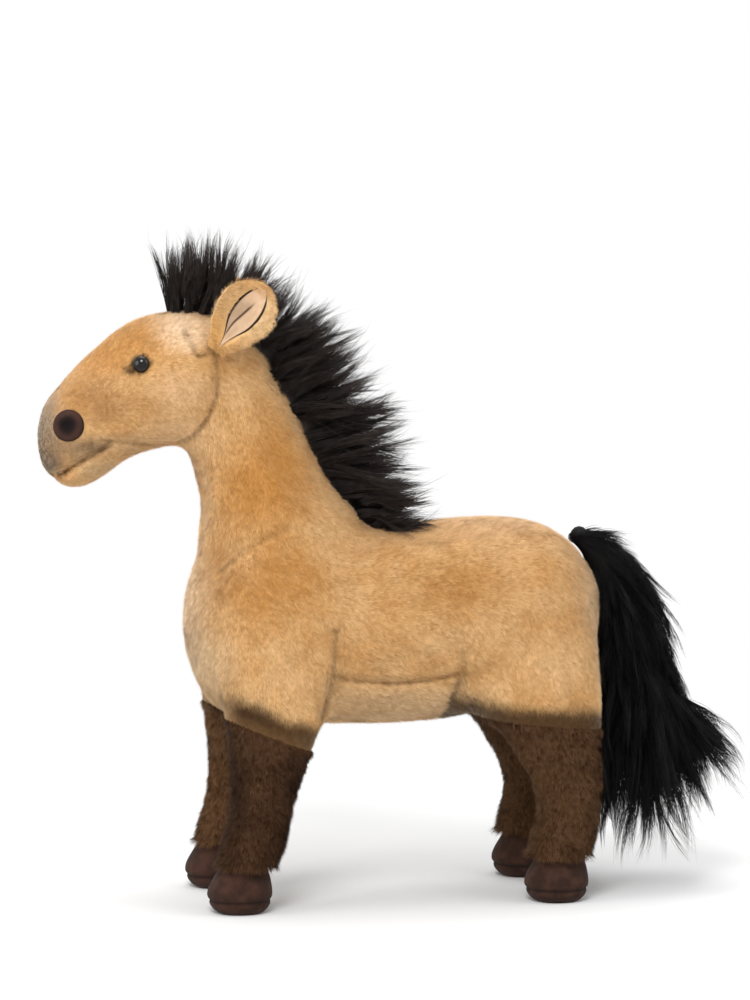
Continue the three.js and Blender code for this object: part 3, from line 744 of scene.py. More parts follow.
@dataclass(frozen=True)
class NapFinish:
    """Suede or felt: a rubbed nap with darker seams and marks; on the ear felt some of these are painted shade."""

    name: str
    colour: Tone
    rubbed: Tone
    seam: Tone
    grain: float = 2500.0
    rubbing: float = 160.0
    bump: float = 0.0004
    sheen: float = 0.25

    def material(self) -> Material:
        """Builds the nap's material.

        Returns:
            The new material.
        """
        material, board = new_material(self.name)
        place = board.place()
        nap = use_group(board, "Rubbed nap", Point=place, Grain=self.grain, Rubbing=self.rubbing)
        speckle = board.ramp(nap.outputs["Height"], 0.3, 0.7)
        colour = board.mix(nap.outputs["Rubbed"], linear(*self.colour), linear(*self.rubbed))
        colour = board.mix(board.maths("MULTIPLY", speckle, 0.35), colour, linear(*self.rubbed))
        colour = board.mix(board.attribute("seam"), colour, linear(*self.seam))
        bump = board.add("ShaderNodeBump", {"Height": nap.outputs["Height"], "Strength": 0.6, "Distance": self.bump})
        finish_material(
            board, Base_Color=colour, Roughness=0.92, Normal=bump.outputs[0], Specular_IOR_Level=0.2,
            Sheen_Weight=self.sheen, Sheen_Roughness=0.4,
        )
        return material


@dataclass(frozen=True)
class HairFinish:
    """Long glossy pile, darker at the root."""

    name: str
    colour: Tone
    tip: Tone
    roughness: float = 0.42

    def material(self) -> Material:
        """Builds the long pile's material.

        Returns:
            The new material.
        """
        material, board = new_material(self.name)
        place = board.place()
        strand = board.attribute("tone")
        along = board.attribute("along")
        lift = board.maths("MULTIPLY", board.ramp(along, 0.2, 1.0), board.ramp(strand, 0.1, 1.0))
        streak = board.ramp(board.noise(place, 300.0, 2.0), 0.4, 0.65)
        share = board.maths("ADD", board.maths("MULTIPLY", lift, 0.7), board.maths("MULTIPLY", streak, 0.2), clamp=True)
        colour = board.mix(share, linear(*self.colour), linear(*self.tip))
        finish_material(board, Base_Color=colour, Roughness=self.roughness, Specular_IOR_Level=0.14)
        return material


@dataclass(frozen=True)
class GlossFinish:
    """Moulded plastic: a deep gloss with faint mould flow and hairline rubbing."""

    name: str
    colour: Tone
    depth: Tone
    roughness: float = 0.06
    specular: float = 0.5

    def material(self) -> Material:
        """Builds the plastic's material.

        Returns:
            The new material.
        """
        material, board = new_material(self.name)
        place = board.place()
        flow = board.ramp(board.noise(place, 400.0, 3.0), 0.35, 0.65)
        colour = board.mix(flow, linear(*self.colour), linear(*self.depth))
        rubbing = board.ramp(board.noise(place, 1800.0, 4.0, 0.7), 0.5, 0.75, self.roughness, self.roughness + 0.05)
        finish_material(board, Base_Color=colour, Roughness=rubbing, Specular_IOR_Level=self.specular)
        return material


# Pile and hair


@dataclass(frozen=True)
class Nap:
    """How a pile stands: sizes in metres, lean in degrees from the skin."""

    density: float
    length: float
    width: float
    lean: float
    lean_spread: float = 12.0
    sway: float = 0.35
    tufting: float = 0.3


LAY_POINTS = np.array([
    # place x, z in mm and the way the pile lies there
    (-142, 200, 0.75, 0.35), (-125, 222, 0.8, 0.55), (-105, 245, 0.9, 0.35), (-112, 205, 0.95, -0.1),
    (-84, 225, 0.5, -0.75), (-75, 200, 0.25, -0.95), (-60, 172, 0.25, -0.95), (-88, 150, 0.05, -1.0),
    (-50, 130, 0.5, -0.85), (-60, 100, 0.15, -1.0), (-5, 140, 0.95, -0.3), (45, 152, 0.92, -0.35),
    (88, 135, 0.2, -1.0), (62, 108, 0.3, -0.95), (0, 95, 0.95, -0.25), (-62, 60, 0.0, -1.0),
    (-65, 25, 0.0, -1.0), (66, 60, 0.0, -1.0), (70, 25, 0.0, -1.0), (35, 110, 0.7, -0.7),
], float)
LAY_BLEND = 60.0
LAY_BACK = np.array((0.12, 0, -0.08))
LEAN_LEAST, LEAN_MOST = 8, 62


def pile_lay(points: Array, normals: Array) -> Array:
    """Gives the way the pile is brushed: back over the head and body, down the neck and legs.

    Args:
        points: Points on the skin in metres.
        normals: The way the skin faces there.

    Returns:
        Directions along the skin.
    """
    gap = ((points[:, None, ::2] / MM - LAY_POINTS[None, :, :2]) ** 2).sum(-1)
    weight = 1 / (gap + LAY_BLEND) ** 2
    flat = (weight[..., None] * LAY_POINTS[None, :, 2:]).sum(1)
    wanted = np.stack((flat[:, 0], np.zeros(len(points)), flat[:, 1]), axis=1)
    wanted = unit(wanted) + LAY_BACK
    along = wanted - (wanted * normals).sum(1, keepdims=True) * normals
    return unit(along)


def scattered(skin: Skin, density: Array, rng: np.random.Generator) -> tuple[Array, Array, Array]:
    """Sets roots on a skin at random.

    Args:
        skin: The surface.
        density: Roots to a square metre on each face.
        rng: Source of the random draws.

    Returns:
        The roots, the face each is on, and its shares of the face's corners.
    """
    counts = rng.poisson(skin.face_areas() * density)
    faces = np.repeat(np.arange(len(skin.faces)), counts)
    first, second = rng.random((2, len(faces)))
    root = np.sqrt(first)
    shares = np.stack((1 - root, root * (1 - second), root * second), axis=1)
    points = (skin.corners()[faces] * shares[..., None]).sum(1)
    return points, faces, shares


def spread_shares(skin: Skin, values: Array, faces: Array, shares: Array) -> Array:
    """Reads a number or a row to a point of a skin at places given by their face and shares of its corners."""
    picked = values[skin.faces[faces]]
    return (picked * (shares if picked.ndim == 2 else shares[..., None])).sum(1)


ATLAS_CELL = 0.004
ATLAS_MARGIN = 0.06
LANES = 4
LANE_STEP = 0.22
LANE_WIDTH = 0.2


def lay_out_strands(mesh: Mesh, roots: Array, lanes: Array) -> None:
    """Unwraps blades so that those rooted close together share a square of the map, root below and tip above.

    Args:
        mesh: Mesh of triangles: two root corners, then the tip.
        roots: Root of each blade.
        lanes: The lane in its square that each blade uses, counted from 0.
    """
    cells = np.floor(roots / ATLAS_CELL).astype(int)
    _, square = np.unique(cells, axis=0, return_inverse=True)
    square = square.ravel()
    across = int(math.ceil(math.sqrt(square.max() + 1)))
    column, row = square % across, square // across
    lane = ATLAS_MARGIN + LANE_STEP * lanes
    left = (column + lane) / across
    right = (column + lane + LANE_WIDTH) / across
    low = (row + ATLAS_MARGIN) / across
    high = (row + 1 - ATLAS_MARGIN) / across
    corners = np.stack((left, low, right, low, (left + right) / 2, high), axis=1)
    layer = mesh.uv_layers.new(name="OFBake")
    layer.data.foreach_set("uv", corners.astype(np.float32).ravel())


PILE_MOST = 190000
DRIFT_WIDE = Drift(11, 0.009)
DRIFT_FINE = Drift(12, 0.0021)
DRIFT_TUFT = Drift(13, 0.0011)


def pile_meshes(
    name: str, skin: Skin, nap: Nap, seed: int, length_share: Array, density_share: Array,
    seam_line_and_shade_at: Callable[[Array], Array] | None = None, soot: Array | None = None,
) -> list[Mesh]:
    """Sets a short pile of flat tapering strands on a skin.

    Args:
        name: Name of the meshes, which get a number.
        skin: The surface.
        nap: How the pile stands.
        seed: Seed of the random draws.
        length_share: Share of the full length at each point of the skin.
        density_share: Share of the full density at each point of the skin.
        seam_line_and_shade_at: Gives the dark seam line at places, from 0 to 1: painted shade over the seams' own
            joints.
        soot: Strength of the dark airbrush and of the painted crease shade at each point of the skin.

    Returns:
        Meshes of one triangle to a strand, each small enough to keep its faces.
    """
    rng = np.random.default_rng(seed)
    density = nap.density * density_share[skin.faces].mean(1)
    roots, faces, shares = scattered(skin, density, rng)
    normals = unit(spread_shares(skin, skin.normals(), faces, shares))
    lengths = nap.length * spread_shares(skin, length_share, faces, shares)
    root_airbrush_and_shade = spread_shares(skin, soot, faces, shares) if soot is not None else np.zeros(len(roots))
    wide, fine = DRIFT_WIDE.at(roots), DRIFT_FINE.at(roots)
    lay = pile_lay(roots, normals) + nap.sway * (0.7 * wide + 0.9 * fine) + rng.normal(0, 0.2, roots.shape)
    lay = unit(lay - (lay * normals).sum(1, keepdims=True) * normals)
    lean = np.radians(nap.lean + nap.lean_spread * (0.6 * fine[:, 0] + rng.normal(0, 0.6, len(roots))))
    lean = np.clip(lean, math.radians(LEAN_LEAST), math.radians(LEAN_MOST))
    way = np.cos(lean)[:, None] * lay + np.sin(lean)[:, None] * normals
    lengths = lengths * (1 + 0.12 * wide[:, 1] + rng.normal(0, 0.13, len(roots)))
    across = unit(np.cross(lay, normals) + rng.normal(0, 0.1, roots.shape))
    half = nap.width / 2 * rng.uniform(0.75, 1.25, len(roots))
    tuft = DRIFT_TUFT.at(roots)
    tone = np.clip(0.5 + 0.42 * tuft[:, 0] + rng.normal(0, 0.2, len(roots)), 0, 1)
    order = np.argsort(roots[:, 0])
    meshes = []
    for number, part in enumerate(np.array_split(order, max(1, math.ceil(len(order) / PILE_MOST)))):
        left = roots[part] - across[part] * half[part, None]
        right = roots[part] + across[part] * half[part, None]
        tips = roots[part] + way[part] * lengths[part, None]
        points = np.stack((left, right, tips), axis=1).reshape(-1, 3)
        mesh = build_mesh(f"{name}_{number}", points, np.arange(len(points)).reshape(-1, 3))
        shade_smooth(mesh)
        flat = unit(np.cross(right - left, tips - left))
        facing = unit(normals[part] * 0.8 + flat * 0.25 + nap.tufting * tuft[part] + rng.normal(0, 0.1, flat.shape))
        mesh.normals_split_custom_set_from_vertices(np.repeat(facing, 3, axis=0).tolist())
        add_values(mesh, "along", np.tile((0.0, 0.0, 1.0), len(part)))
        add_values(mesh, "tone", np.repeat(tone[part], 3))
        if seam_line_and_shade_at is not None:
            add_values(mesh, "seam", seam_line_and_shade_at(points))
        if soot is not None:
            add_values(mesh, "soot", np.repeat(root_airbrush_and_shade[part], 3))
        lay_out_strands(mesh, roots[part], rng.integers(0, LANES, len(part)))
        meshes.append(mesh)
    return meshes


@dataclass
class Strands:
    """Strands of long pile: points from root to tip, the radius at each but the last, and a tone to a strand."""

    paths: Array
    radii: Array
    tones: Array

    def mesh(self, name: str, picked: Array) -> Mesh:
        """Makes three-sided tapering strands.

        Args:
            name: Name of the mesh.
            picked: Numbers of the strands that it has.

        Returns:
            The new mesh.
        """
        paths, radii = self.paths[picked], self.radii[picked]
        count, steps, _ = paths.shape
        along = unit(np.gradient(paths, axis=1))
        first = unit(np.cross(along, np.array((0.31, 0.17, 0.93))))
        second = np.cross(along, first)
        rings = []
        for turn in (2 * math.pi * k / 3 for k in range(3)):
            away = math.cos(turn) * first[:, :-1] + math.sin(turn) * second[:, :-1]
            rings.append(paths[:, :-1] + radii[..., None] * away)
        body = np.stack(rings, axis=2).reshape(count, -1, 3)
        points = np.concatenate((body, paths[:, -1:]), axis=1)
        each = points.shape[1]
        corners = []
        for start in range(0, (steps - 2) * 3, 3):
            for a, b in ((start, start + 1), (start + 1, start + 2), (start + 2, start)):
                corners += [(a, b, b + 3), (a, b + 3, a + 3)]
        last = (steps - 2) * 3
        corners += [(last + k, last + (k + 1) % 3, each - 1) for k in range(3)]
        faces = (np.array(corners)[None] + (np.arange(count) * each)[:, None, None]).reshape(-1, 3)
        mesh = build_mesh(name, points.reshape(-1, 3), faces)
        shade_smooth(mesh)
        marks = np.concatenate((np.repeat(np.linspace(0, 1, steps)[:-1], 3), [1.0]))
        add_values(mesh, "along", np.tile(marks, count))
        add_values(mesh, "tone", np.repeat(self.tones[picked], each))
        return mesh

    def pieces(self, node: str, body: str, picked: Array, finish: Material) -> list[Object]:
        """Makes a node's hair, in pieces that are each small enough to keep their faces.

        Args:
            node: Name of the CAD node that the hair stands for.
            body: Body that the hair rides on.
            picked: Numbers of the strands that it has.
            finish: The hair's finish.

        Returns:
            The pieces.
        """
        name = node if node.endswith("_hair") else f"{node}_hair"
        each = (self.paths.shape[1] - 2) * 6 + 3
        pieces = []
        for number, part in enumerate(np.array_split(picked, max(1, math.ceil(len(picked) * each / PILE_MOST)))):
            mesh = self.mesh(f"{name}_{number}", part)
            piece = show(mesh.name, mesh, finish)
            if number == 0:
                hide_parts(node)
            pieces.append(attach(piece, body))
        return pieces


def bezier(control: Array, steps: int) -> Array:
    """Draws cubic curves of so many points from four control points each."""
    t, (a, b, c, d) = np.linspace(0, 1, steps)[None, :, None], np.moveaxis(control[:, None], 2, 0)
    return a * (1 - t) ** 3 + 3 * b * t * (1 - t) ** 2 + 3 * c * t ** 2 * (1 - t) + d * t ** 3


def smooth_curve(points: Array, steps: int) -> Array:
    """Sets points along a curve through given points.

    Args:
        points: Points that the curve passes.
        steps: Number of points wanted.

    Returns:
        The curve's points at even steps.
    """
    full = np.concatenate((2 * points[:1] - points[1:2], points, 2 * points[-1:] - points[-2:-1]))
    fine = []
    for k in range(1, len(full) - 2):
        t = np.linspace(0, 1, 12, endpoint=False)[:, None]
        a, b, c, d = full[k - 1:k + 3]
        cubic = (3 * b - a - 3 * c + d) * t ** 3
        fine.append(0.5 * (2 * b + (c - a) * t + (2 * a - 5 * b + 4 * c - d) * t ** 2 + cubic))
    return spaced(np.concatenate(fine + [points[-1:]]), steps)


# Finishes

TAN_SPRAYS_AND_LIGHT = (
    Spray((-118, 0, 243), (28, 60, 22), (206, 150, 80), 0.75),
    Spray((-130, 0, 218), (20, 60, 16), (172, 126, 78), 0.78),
    Spray((-94, 0, 222), (22, 60, 15), (238, 202, 158), 0.8),
    Spray((-94, 0, 206), (26, 60, 14), (230, 194, 148), 0.7),
    # Paler brow top: partly the pile's own colour, partly painted light from above.
    Spray((-92, 0, 247), (18, 60, 14), (245, 218, 184), 0.9),
    Spray((-58, 0, 184), (28, 80, 40), (198, 134, 52), 0.75),
    Spray((-52, 0, 138), (36, 80, 28), (192, 128, 42), 0.8),
    Spray((22, 0, 136), (48, 80, 26), (184, 128, 60), 0.72),
    # Paler back top: partly the pile's own colour, partly painted light from above.
    Spray((45, 0, 168), (52, 80, 16), (232, 194, 148), 0.7),
    Spray((88, 0, 125), (22, 80, 44), (196, 164, 128), 0.65),
    # Paler belly: partly the pile's own colour, partly painted light at its lower edge.
    Spray((0, 0, 88), (60, 80, 16), (230, 198, 156), 0.7),
    # Paler chest front: partly the pile's own colour, partly a painted highlight at the chest's edge.
    Spray((-96, 0, 136), (19, 80, 64), (242, 216, 182), 0.85),
    Spray((-84, 0, 106), (20, 80, 22), (212, 184, 146), 0.7),
    Spray((60, 0, 106), (34, 80, 24), (238, 198, 146), 0.7),
    Spray((-120, 0, 199), (20, 60, 8), (204, 172, 130), 0.6),
    Spray((-151, 0, 206), (14, 60, 30), (164, 142, 120), 0.95),
    Spray((-149, 0, 192), (9, 60, 9), (112, 98, 86), 0.8),
    Spray((-156, 0, 204), (8, 60, 22), (104, 96, 90), 0.9),
    Spray((-127, 0, 189), (16, 60, 7), (196, 172, 136), 0.5),
    Spray((-140, 0, 198), (22, 60, 9), (156, 128, 98), 0.85),
    Spray((-130, 0, 199), (12, 60, 4), (120, 94, 70), 0.4),
)
EAR_SPRAYS = (
    Spray((-60, 0, 252), (18, 60, 22), (252, 226, 178), 0.9),
    Spray((-80, 0, 248), (8, 60, 13), (214, 158, 84), 0.8),
)
TAN = PileFinish(
    "Tan pile", (214, 166, 108), (224, 182, 128), TAN_SPRAYS_AND_LIGHT,
    root_shade=0.8, strand_spread=0.4, mottle=0.5, sheen=0.5,
)
EAR_TAN = replace(TAN, name="Ear pile", sprays=EAR_SPRAYS)
BROWN_SPRAYS_AND_LIGHT = (
    # Painted light: the far fore leg lighter, as more light reaches it.
    Spray((-64, 31, 45), (60, 22, 90), (116, 84, 56), 0.85),
    # Painted shade: the near fore leg darker, as less light reaches its face; the next oval darkens the back of that
    # leg further.
    Spray((-58, -31, 45), (40, 16, 70), (49, 33, 21), 0.9),
    Spray((-50, -31, 60), (9, 20, 26), (40, 26, 16), 0.6, 0.8),
    Spray((66, 0, 48), (40, 80, 60), (102, 74, 48), 0.85),
)
BROWN = PileFinish(
    "Brown stocking pile", (86, 60, 40), (70, 47, 30), BROWN_SPRAYS_AND_LIGHT,
    root_shade=0.5, strand_spread=0.95, mottle=1.2, roughness=0.7,
)
SUEDE = NapFinish("Hoof suede", (40, 24, 17), (64, 41, 31), (18, 10, 8), sheen=0.03)
NOSTRIL_SUEDE = NapFinish("Nostril suede", (54, 34, 28), (72, 47, 39), (12, 7, 6), sheen=0.0)
# Its seam colour darkens the sprayed edge lines and, as painted shade, the lining's fold.
FELT = NapFinish(
    "Ear felt", (192, 160, 128), (206, 174, 144), (46, 28, 16), grain=3200, rubbing=220, bump=0.0002, sheen=0.1,
)
MANE_BLACK = HairFinish("Black mane pile", (35, 30, 28), (76, 66, 62), roughness=0.5)
TAIL_BLACK = HairFinish("Black tail pile", (7, 6, 6), (17, 14, 14), roughness=0.6)
EYE_BLACK = GlossFinish("Eye plastic", (6, 4, 4), (16, 9, 6), roughness=0.03, specular=0.34)
WASHER = GlossFinish("Washer plastic", (228, 228, 224), (214, 214, 210), roughness=0.35)


# The sewn body


@dataclass(frozen=True)
class Seam:
    """A sewn line or crease: the groove's depth in mm, the strength of its dark line (painted shade, over a seam's own
    dark joint), and x and z in mm on the left side.
    """

    depth: float
    tone: float
    line: Table


# Each seam's dark line is painted shade where the pile parts, over its own dark joint; along the creases it is painted
# shade only.
SEAMS = {
    "collar": Seam(2.0, 0.85, (
        (-79.5, 238.8), (-78.2, 229.1), (-78.7, 219.4), (-82.1, 210.1), (-87.3, 202.6), (-93.3, 197.6),
    )),
    "temple": Seam(1.5, 0.7, ((-91.9, 248.1), (-89.4, 241.8), (-87.3, 236.7), (-79.2, 238.7))),
    "mouth": Seam(3.0, 1.25, (
        (-148.0, 182.2), (-144.6, 185.0), (-141.2, 187.9), (-137.6, 190.4), (-132.0, 193.8), (-126.4, 196.9),
        (-122.8, 198.9),
    )),
    "jaw": Seam(1.2, 0.65, ((-127.8, 201.8), (-115.1, 199.9), (-104.5, 198.5), (-93.8, 198.3))),
    "chin": Seam(1.0, 0.6, ((-130.7, 200.7), (-131.2, 197.7), (-130.8, 194.7))),
    "belly": Seam(1.6, 0.9, ((-30.8, 100.6), (-20.0, 98.2), (-4.9, 96.9), (10.4, 97.8), (25.7, 100.8))),
    "fore_crease": Seam(3.4, 0.35, ((-31.4, 121.0), (-30.9, 113.1), (-32.1, 96.1), (-35.5, 84.2))),
    "hind_crease": Seam(3.0, 0.35, ((24.3, 111.0), (24.7, 103.2), (23.0, 90.3))),
    "shoulder": Seam(0.6, 0.6, ((-77.0, 145.3), (-67.6, 154.8), (-58.2, 160.1), (-49.6, 163.8))),
}
# places x and z in mm, seen from the side
EYE_PLACE = (-110.5, 233.8)
EYE_RING = (-110.9, 233.6)
NOSTRIL_PLACE = (-141.0, 207.9)


@dataclass(frozen=True)
class Hem:
    """A stocking's top seen from the side: its front and back ends, x and z in mm."""

    front: tuple[float, float]
    back: tuple[float, float]

    def share(self, x: Array) -> Array:
        """Gives the share of the way from front to back at places x in mm."""
        return (x - self.front[0]) / (self.back[0] - self.front[0])

    def top(self, x: Array) -> Array:
        """Gives the top's height in mm at places x in mm."""
        return self.front[1] + (self.back[1] - self.front[1]) * self.share(x)


@dataclass
class Pelt:
    """The stuffed skin of tan pile over trunk, neck, head and upper legs, with the legs' brown stockings below it."""

    voxel: float = 0.002
    spread: float = 0.00035
    fairing: int = 26
    soft_spots: tuple[Place, ...] = (
        # place x, z and reach in mm of what is smoothed further
        (-35, 165, 34), (-92, 160, 24), (-60, 160, 26), (-60, 112, 18), (58, 112, 18), (-66, 240, 12),
    )
    soft_steps: int = 40
    nap: Nap = Nap(density=8.6e6, length=0.0023, width=0.00026, lean=27, lean_spread=11, sway=0.45)
    stocking_nap: Nap = Nap(
        density=8.6e6, length=0.0026, width=0.00028, lean=32, lean_spread=14, sway=0.75, tufting=0.6,
    )
    sink_share: float = 0.42
    seam_step: float = 0.0015
    line_width: float = 0.00075
    seam_width: float = 0.0016
    full_seam: float = 1.7
    valley_width: float = 0.0055
    valley_depth: float = 0.0007
    bulge: float = 0.0024
    ankle: float = 0.0018
    ankle_reach: float = 15.0
    chin: float = 0.0016
    chin_place: tuple[float, float] = (-137.0, 183.0)
    chin_reach: float = 12.0
    pressure: float = 4.0
    cloth_steps: int = 20
    neighbours: int = 5
    inset: float = 0.0012
    swell: float = 0.0024
    sag_most: float = 0.0002
    seam_hold: float = 0.004
    hem_hold: float = 2.6
    coarse: float = 0.005
    skin: Skin | None = None
    seams: dict[str, Array] = field(default_factory=dict)
    fore_hem: Hem = Hem((-75.1, 83.1), (-40.4, 69.2))
    hind_hem: Hem = Hem((42.3, 80.2), (84.2, 75.6))
    soot_band: tuple[float, float] = (4.0, 11.5)
    cuff: float = 20.6
    hem_ridge: float = 0.0011
    fore_limit: float = -26.0
    hind_limit: float = 34.0
    soot_limit: float = 20.0

    @staticmethod
    def soft_nodes() -> list[str]:
        """Names the CAD nodes of the stuffed body, in order."""
        words = ("panel", "fill", "pelt", "stocking")
        return sorted(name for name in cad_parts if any(word in name for word in words))

    def build(self) -> list[Object]:
        """Makes the skins, their pile and their materials.

        Returns:
            The pieces, dressed and riding on the body.
        """
        mesh = remeshed(self.soft_nodes(), self.voxel, self.spread)
        edges = mesh_edges(mesh)
        set_points(mesh, self.blended(faired(get_points(mesh), edges, self.fairing), edges))
        self.draw_seams(Skin.from_mesh(mesh))
        set_points(mesh, self.stuffed(mesh))
        self.groove(mesh)
        self.sink(mesh)
        return self.dress(mesh)

    def blended(self, points: Array, edges: Array) -> Array:
        """Softens the places where neck, trunk and head run into each other.

        Args:
            points: Points of the skin.
            edges: Its edges.

        Returns:
            The softened points.
        """
        amount = np.zeros(len(points))
        for x, z, reach in self.soft_spots:
            amount = np.maximum(amount, 1 - smooth_step(reach * 0.4, reach, side_gap(points, x, z)))
        return relaxed(points, edges, self.soft_steps, amount[:, None] * 0.9)

    def draw_seams(self, skin: Skin) -> None:
        """Lays the seam lines on the skin, on both sides.

        Args:
            skin: The skin, still without grooves.
        """
        tree = skin.tree()
        for name, seam in SEAMS.items():
            spots = spaced(np.array(seam.line) * MM, step=self.seam_step)
            for side in Side:
                found = []
                for x, z in spots:
                    hit = tree.ray_cast(Vector((x, side.value * 0.1, z)), Vector((0, -side.value, 0)))[0]
                    if hit is not None:
                        found.append(tuple(hit))
                if len(found) > 1:
                    self.seams[f"{name}_{side.word}"] = np.array(found)

    def seam_depth_at(self, points: Array) -> tuple[Array, Array]:
        """Measures the seams' pull on the skin.

        Args:
            points: Points of the skin.

        Returns:
            The depth of the groove in metres and its nearness from 0 to 1.
        """
        depth, near = np.zeros(len(points)), np.zeros(len(points))
        for name, line in self.seams.items():
            full = SEAMS[name.rsplit("_", 1)[0]].depth * MM
            closeness = np.exp(-(distance_to_line(points, line) / self.seam_width) ** 2)
            depth = np.maximum(depth, full * closeness)
            near = np.maximum(near, closeness * min(1.0, full / (self.full_seam * MM)))
        return depth, near

    def seam_line(self, points: Array) -> Array:
        """Gives the dark line along each seam and crease: painted shade where the pile parts, over the seams' own dark
        joints.

        Args:
            points: Places on or in the pile.

        Returns:
            Shares from 0, away from it, to 1, on it.
        """
        near = np.zeros(len(points))
        seen = points[:, ::2]
        for name, line in self.seams.items():
            margin = 4 * self.line_width
            flat = line[:, ::2]
            beside = points[:, 1] * np.sign(line[0, 1]) > 0.6 * np.abs(line[:, 1]).min()
            inside = np.all((seen > flat.min(0) - margin) & (seen < flat.max(0) + margin), axis=1)
            close = np.flatnonzero(beside & inside)
            drift = DRIFT_FINE.at(points[close])
            gap = np.maximum(distance_to_line(seen[close], flat) + 0.0003 * drift[:, 2], 0)
            weight = SEAMS[name.rsplit("_", 1)[0]].tone * (0.78 + 0.45 * drift[:, 1])
            near[close] = np.maximum(near[close], weight * np.exp(-(gap / self.line_width) ** 2))
        return np.minimum(near, 1.0)

    def soot_at(self, points: Array) -> Array:
        """Gives the dark airbrush above the stockings' tops, the dark rings round the eyes, and the painted shade along
        the leg creases.

        Args:
            points: Points of the skin.

        Returns:
            Its strength from 0 to 1.
        """
        x, z = points[:, 0] / MM, points[:, 2] / MM
        coarse, fine = DRIFT_WIDE.at(points)[:, 0], DRIFT_FINE.at(points)[:, 1]
        soot = np.zeros(len(points))
        clean = 0.2 + 0.8 * smooth_step(-80, -71, x)
        for fore, hem in ((True, self.fore_hem), (False, self.hind_hem)):
            rise = z - hem.top(x) + 2.0 * coarse + 1.0 * fine
            where = (x < self.fore_limit) if fore else (x > self.soot_limit)
            front_share = 1 - np.clip(hem.share(x), 0, 1)
            fade = 0.88 + 0.12 * front_share if fore else 0.92
            shift = 2.8 + 1.4 * front_share if fore else 0.3
            below = 0.87 + 0.13 * smooth_step(1.0, 7.0, rise) if fore else 1.0
            band = 1 - smooth_step(*self.soot_band, rise - shift)
            soot = np.maximum(soot, band * where * fade * clean * below)
        ring = side_gap(points, *EYE_RING) + 0.9 * fine
        corner = np.hypot((x + 115.0) / 1.6, z - 230.6) + 0.8 * fine
        # Painted shade along the leg creases, stronger low down.
        for name, line in self.seams.items():
            if "crease" in name:
                beside = np.sign(points[:, 1]) == np.sign(line[0, 1])
                fold = np.exp(-(distance_to_line(points[:, ::2], line[:, ::2]) / (3.2 * MM)) ** 2)
                soot = np.maximum(soot, (0.1 + 0.22 * (1 - smooth_step(98, 110, z))) * fold * beside)
        head = z > 220
        soot = np.maximum(soot, 0.95 * (1 - smooth_step(3.6, 4.6, ring)) * head)
        return np.maximum(soot, 0.9 * (1 - smooth_step(1.0, 2.8, corner)) * head)

    def stuffed(self, mesh: Mesh) -> Array:
        """Fills the skin by cloth pressure, with its seams held, and gives the swollen points.

        Args:
            mesh: The fine skin.

        Returns:
            Its points, moved as the stuffing moves them.
        """
        fine = get_points(mesh)
        start = mesh.copy()
        start_skin = Skin.from_mesh(start)
        set_points(start, fine - start_skin.normals() * self.inset)
        coarse = voxelled(start, self.coarse)
        bag = bpy.data.objects.new("stuffing_bag", coarse)
        bpy.context.scene.collection.objects.link(bag)
        before = get_points(coarse)
        held = np.zeros(len(before))
        for line in self.seams.values():
            held = np.maximum(held, distance_to_line(before, line) < self.seam_hold)
        held = np.maximum(held, before[:, 2] < self.cuff * MM + 0.003)
        held = np.maximum(held, np.abs(self.hem_drop(before)) < self.hem_hold)
        pins = bag.vertex_groups.new(name="seams")
        pins.add(np.flatnonzero(held).tolist(), 1.0, "REPLACE")
        cloth = bag.modifiers.new("cloth", "CLOTH")
        cloth.settings.use_pressure = True
        cloth.settings.uniform_pressure_force = self.pressure
        cloth.settings.effector_weights.gravity = 0.0
        cloth.settings.vertex_group_mass = "seams"
        cloth.point_cache.frame_end = self.cloth_steps
        scene = bpy.context.scene
        for step in range(1, self.cloth_steps + 1):
            scene.frame_set(step)
        graph = bpy.context.evaluated_depsgraph_get()
        after = get_points(bag.evaluated_get(graph).to_mesh())
        scene.frame_set(1)
        move = after - before
        size = np.linalg.norm(move, axis=1, keepdims=True)
        middle = float(np.median(size[held < 0.5]))
        LOG.info("stuffing moved the free cloth by %.2f mm at its median", middle / MM)
        scale = self.inset / max(middle, 1e-6)
        move *= scale * np.minimum(1.0, self.swell / np.maximum(size * scale, 1e-9))
        carried = Neighbours(before).carried(move, fine, self.neighbours)
        bpy.data.objects.remove(bag)
        normals = start_skin.normals()
        net = carried - normals * self.inset
        out = (net * normals).sum(1)
        deep = np.minimum(out + self.sag_most, 0)
        net -= normals * (deep * 0.8)[:, None]
        return relaxed(fine + net, mesh_edges(mesh), 2)

    def groove(self, mesh: Mesh) -> None:
        """Pulls the skin in along its seams, and rounds the legs, the ankles and the chin.

        Args:
            mesh: The skin, which is changed.
        """
        points = get_points(mesh)
        depth, _ = self.seam_depth_at(points)
        valley = np.zeros(len(points))
        for line in self.seams.values():
            valley = np.maximum(valley, np.exp(-(distance_to_line(points, line) / self.valley_width) ** 2))
        ankle = self.ankle * np.exp(-((points[:, 2] / MM - self.cuff - 2) / self.ankle_reach) ** 2)
        chin = self.chin * np.exp(-(side_gap(points, *self.chin_place) / self.chin_reach) ** 2)
        rise = self.leg_bulge(points) + ankle + chin - valley * self.valley_depth - depth
        set_points(mesh, points + Skin.from_mesh(mesh).normals() * rise[:, None])

    def leg_bulge(self, points: Array) -> Array:
        """Gives how far the stuffed shoulder and haunch stand out beside their creases.

        Args:
            points: Points of the skin.

        Returns:
            Heights in metres.
        """
        x, z = points[:, 0] / MM, points[:, 2] / MM
        low = 1 - smooth_step(104, 134, z)
        fore = smooth_step(-62, -38, x) * (1 - smooth_step(-33.5, -29.5, x))
        hind = smooth_step(21.5, 25.5, x) * (1 - smooth_step(32, 60, x))
        side = smooth_step(10, 26, np.abs(points[:, 1]) / MM)
        return (fore + hind) * low * side * smooth_step(70, 84, z) * self.bulge

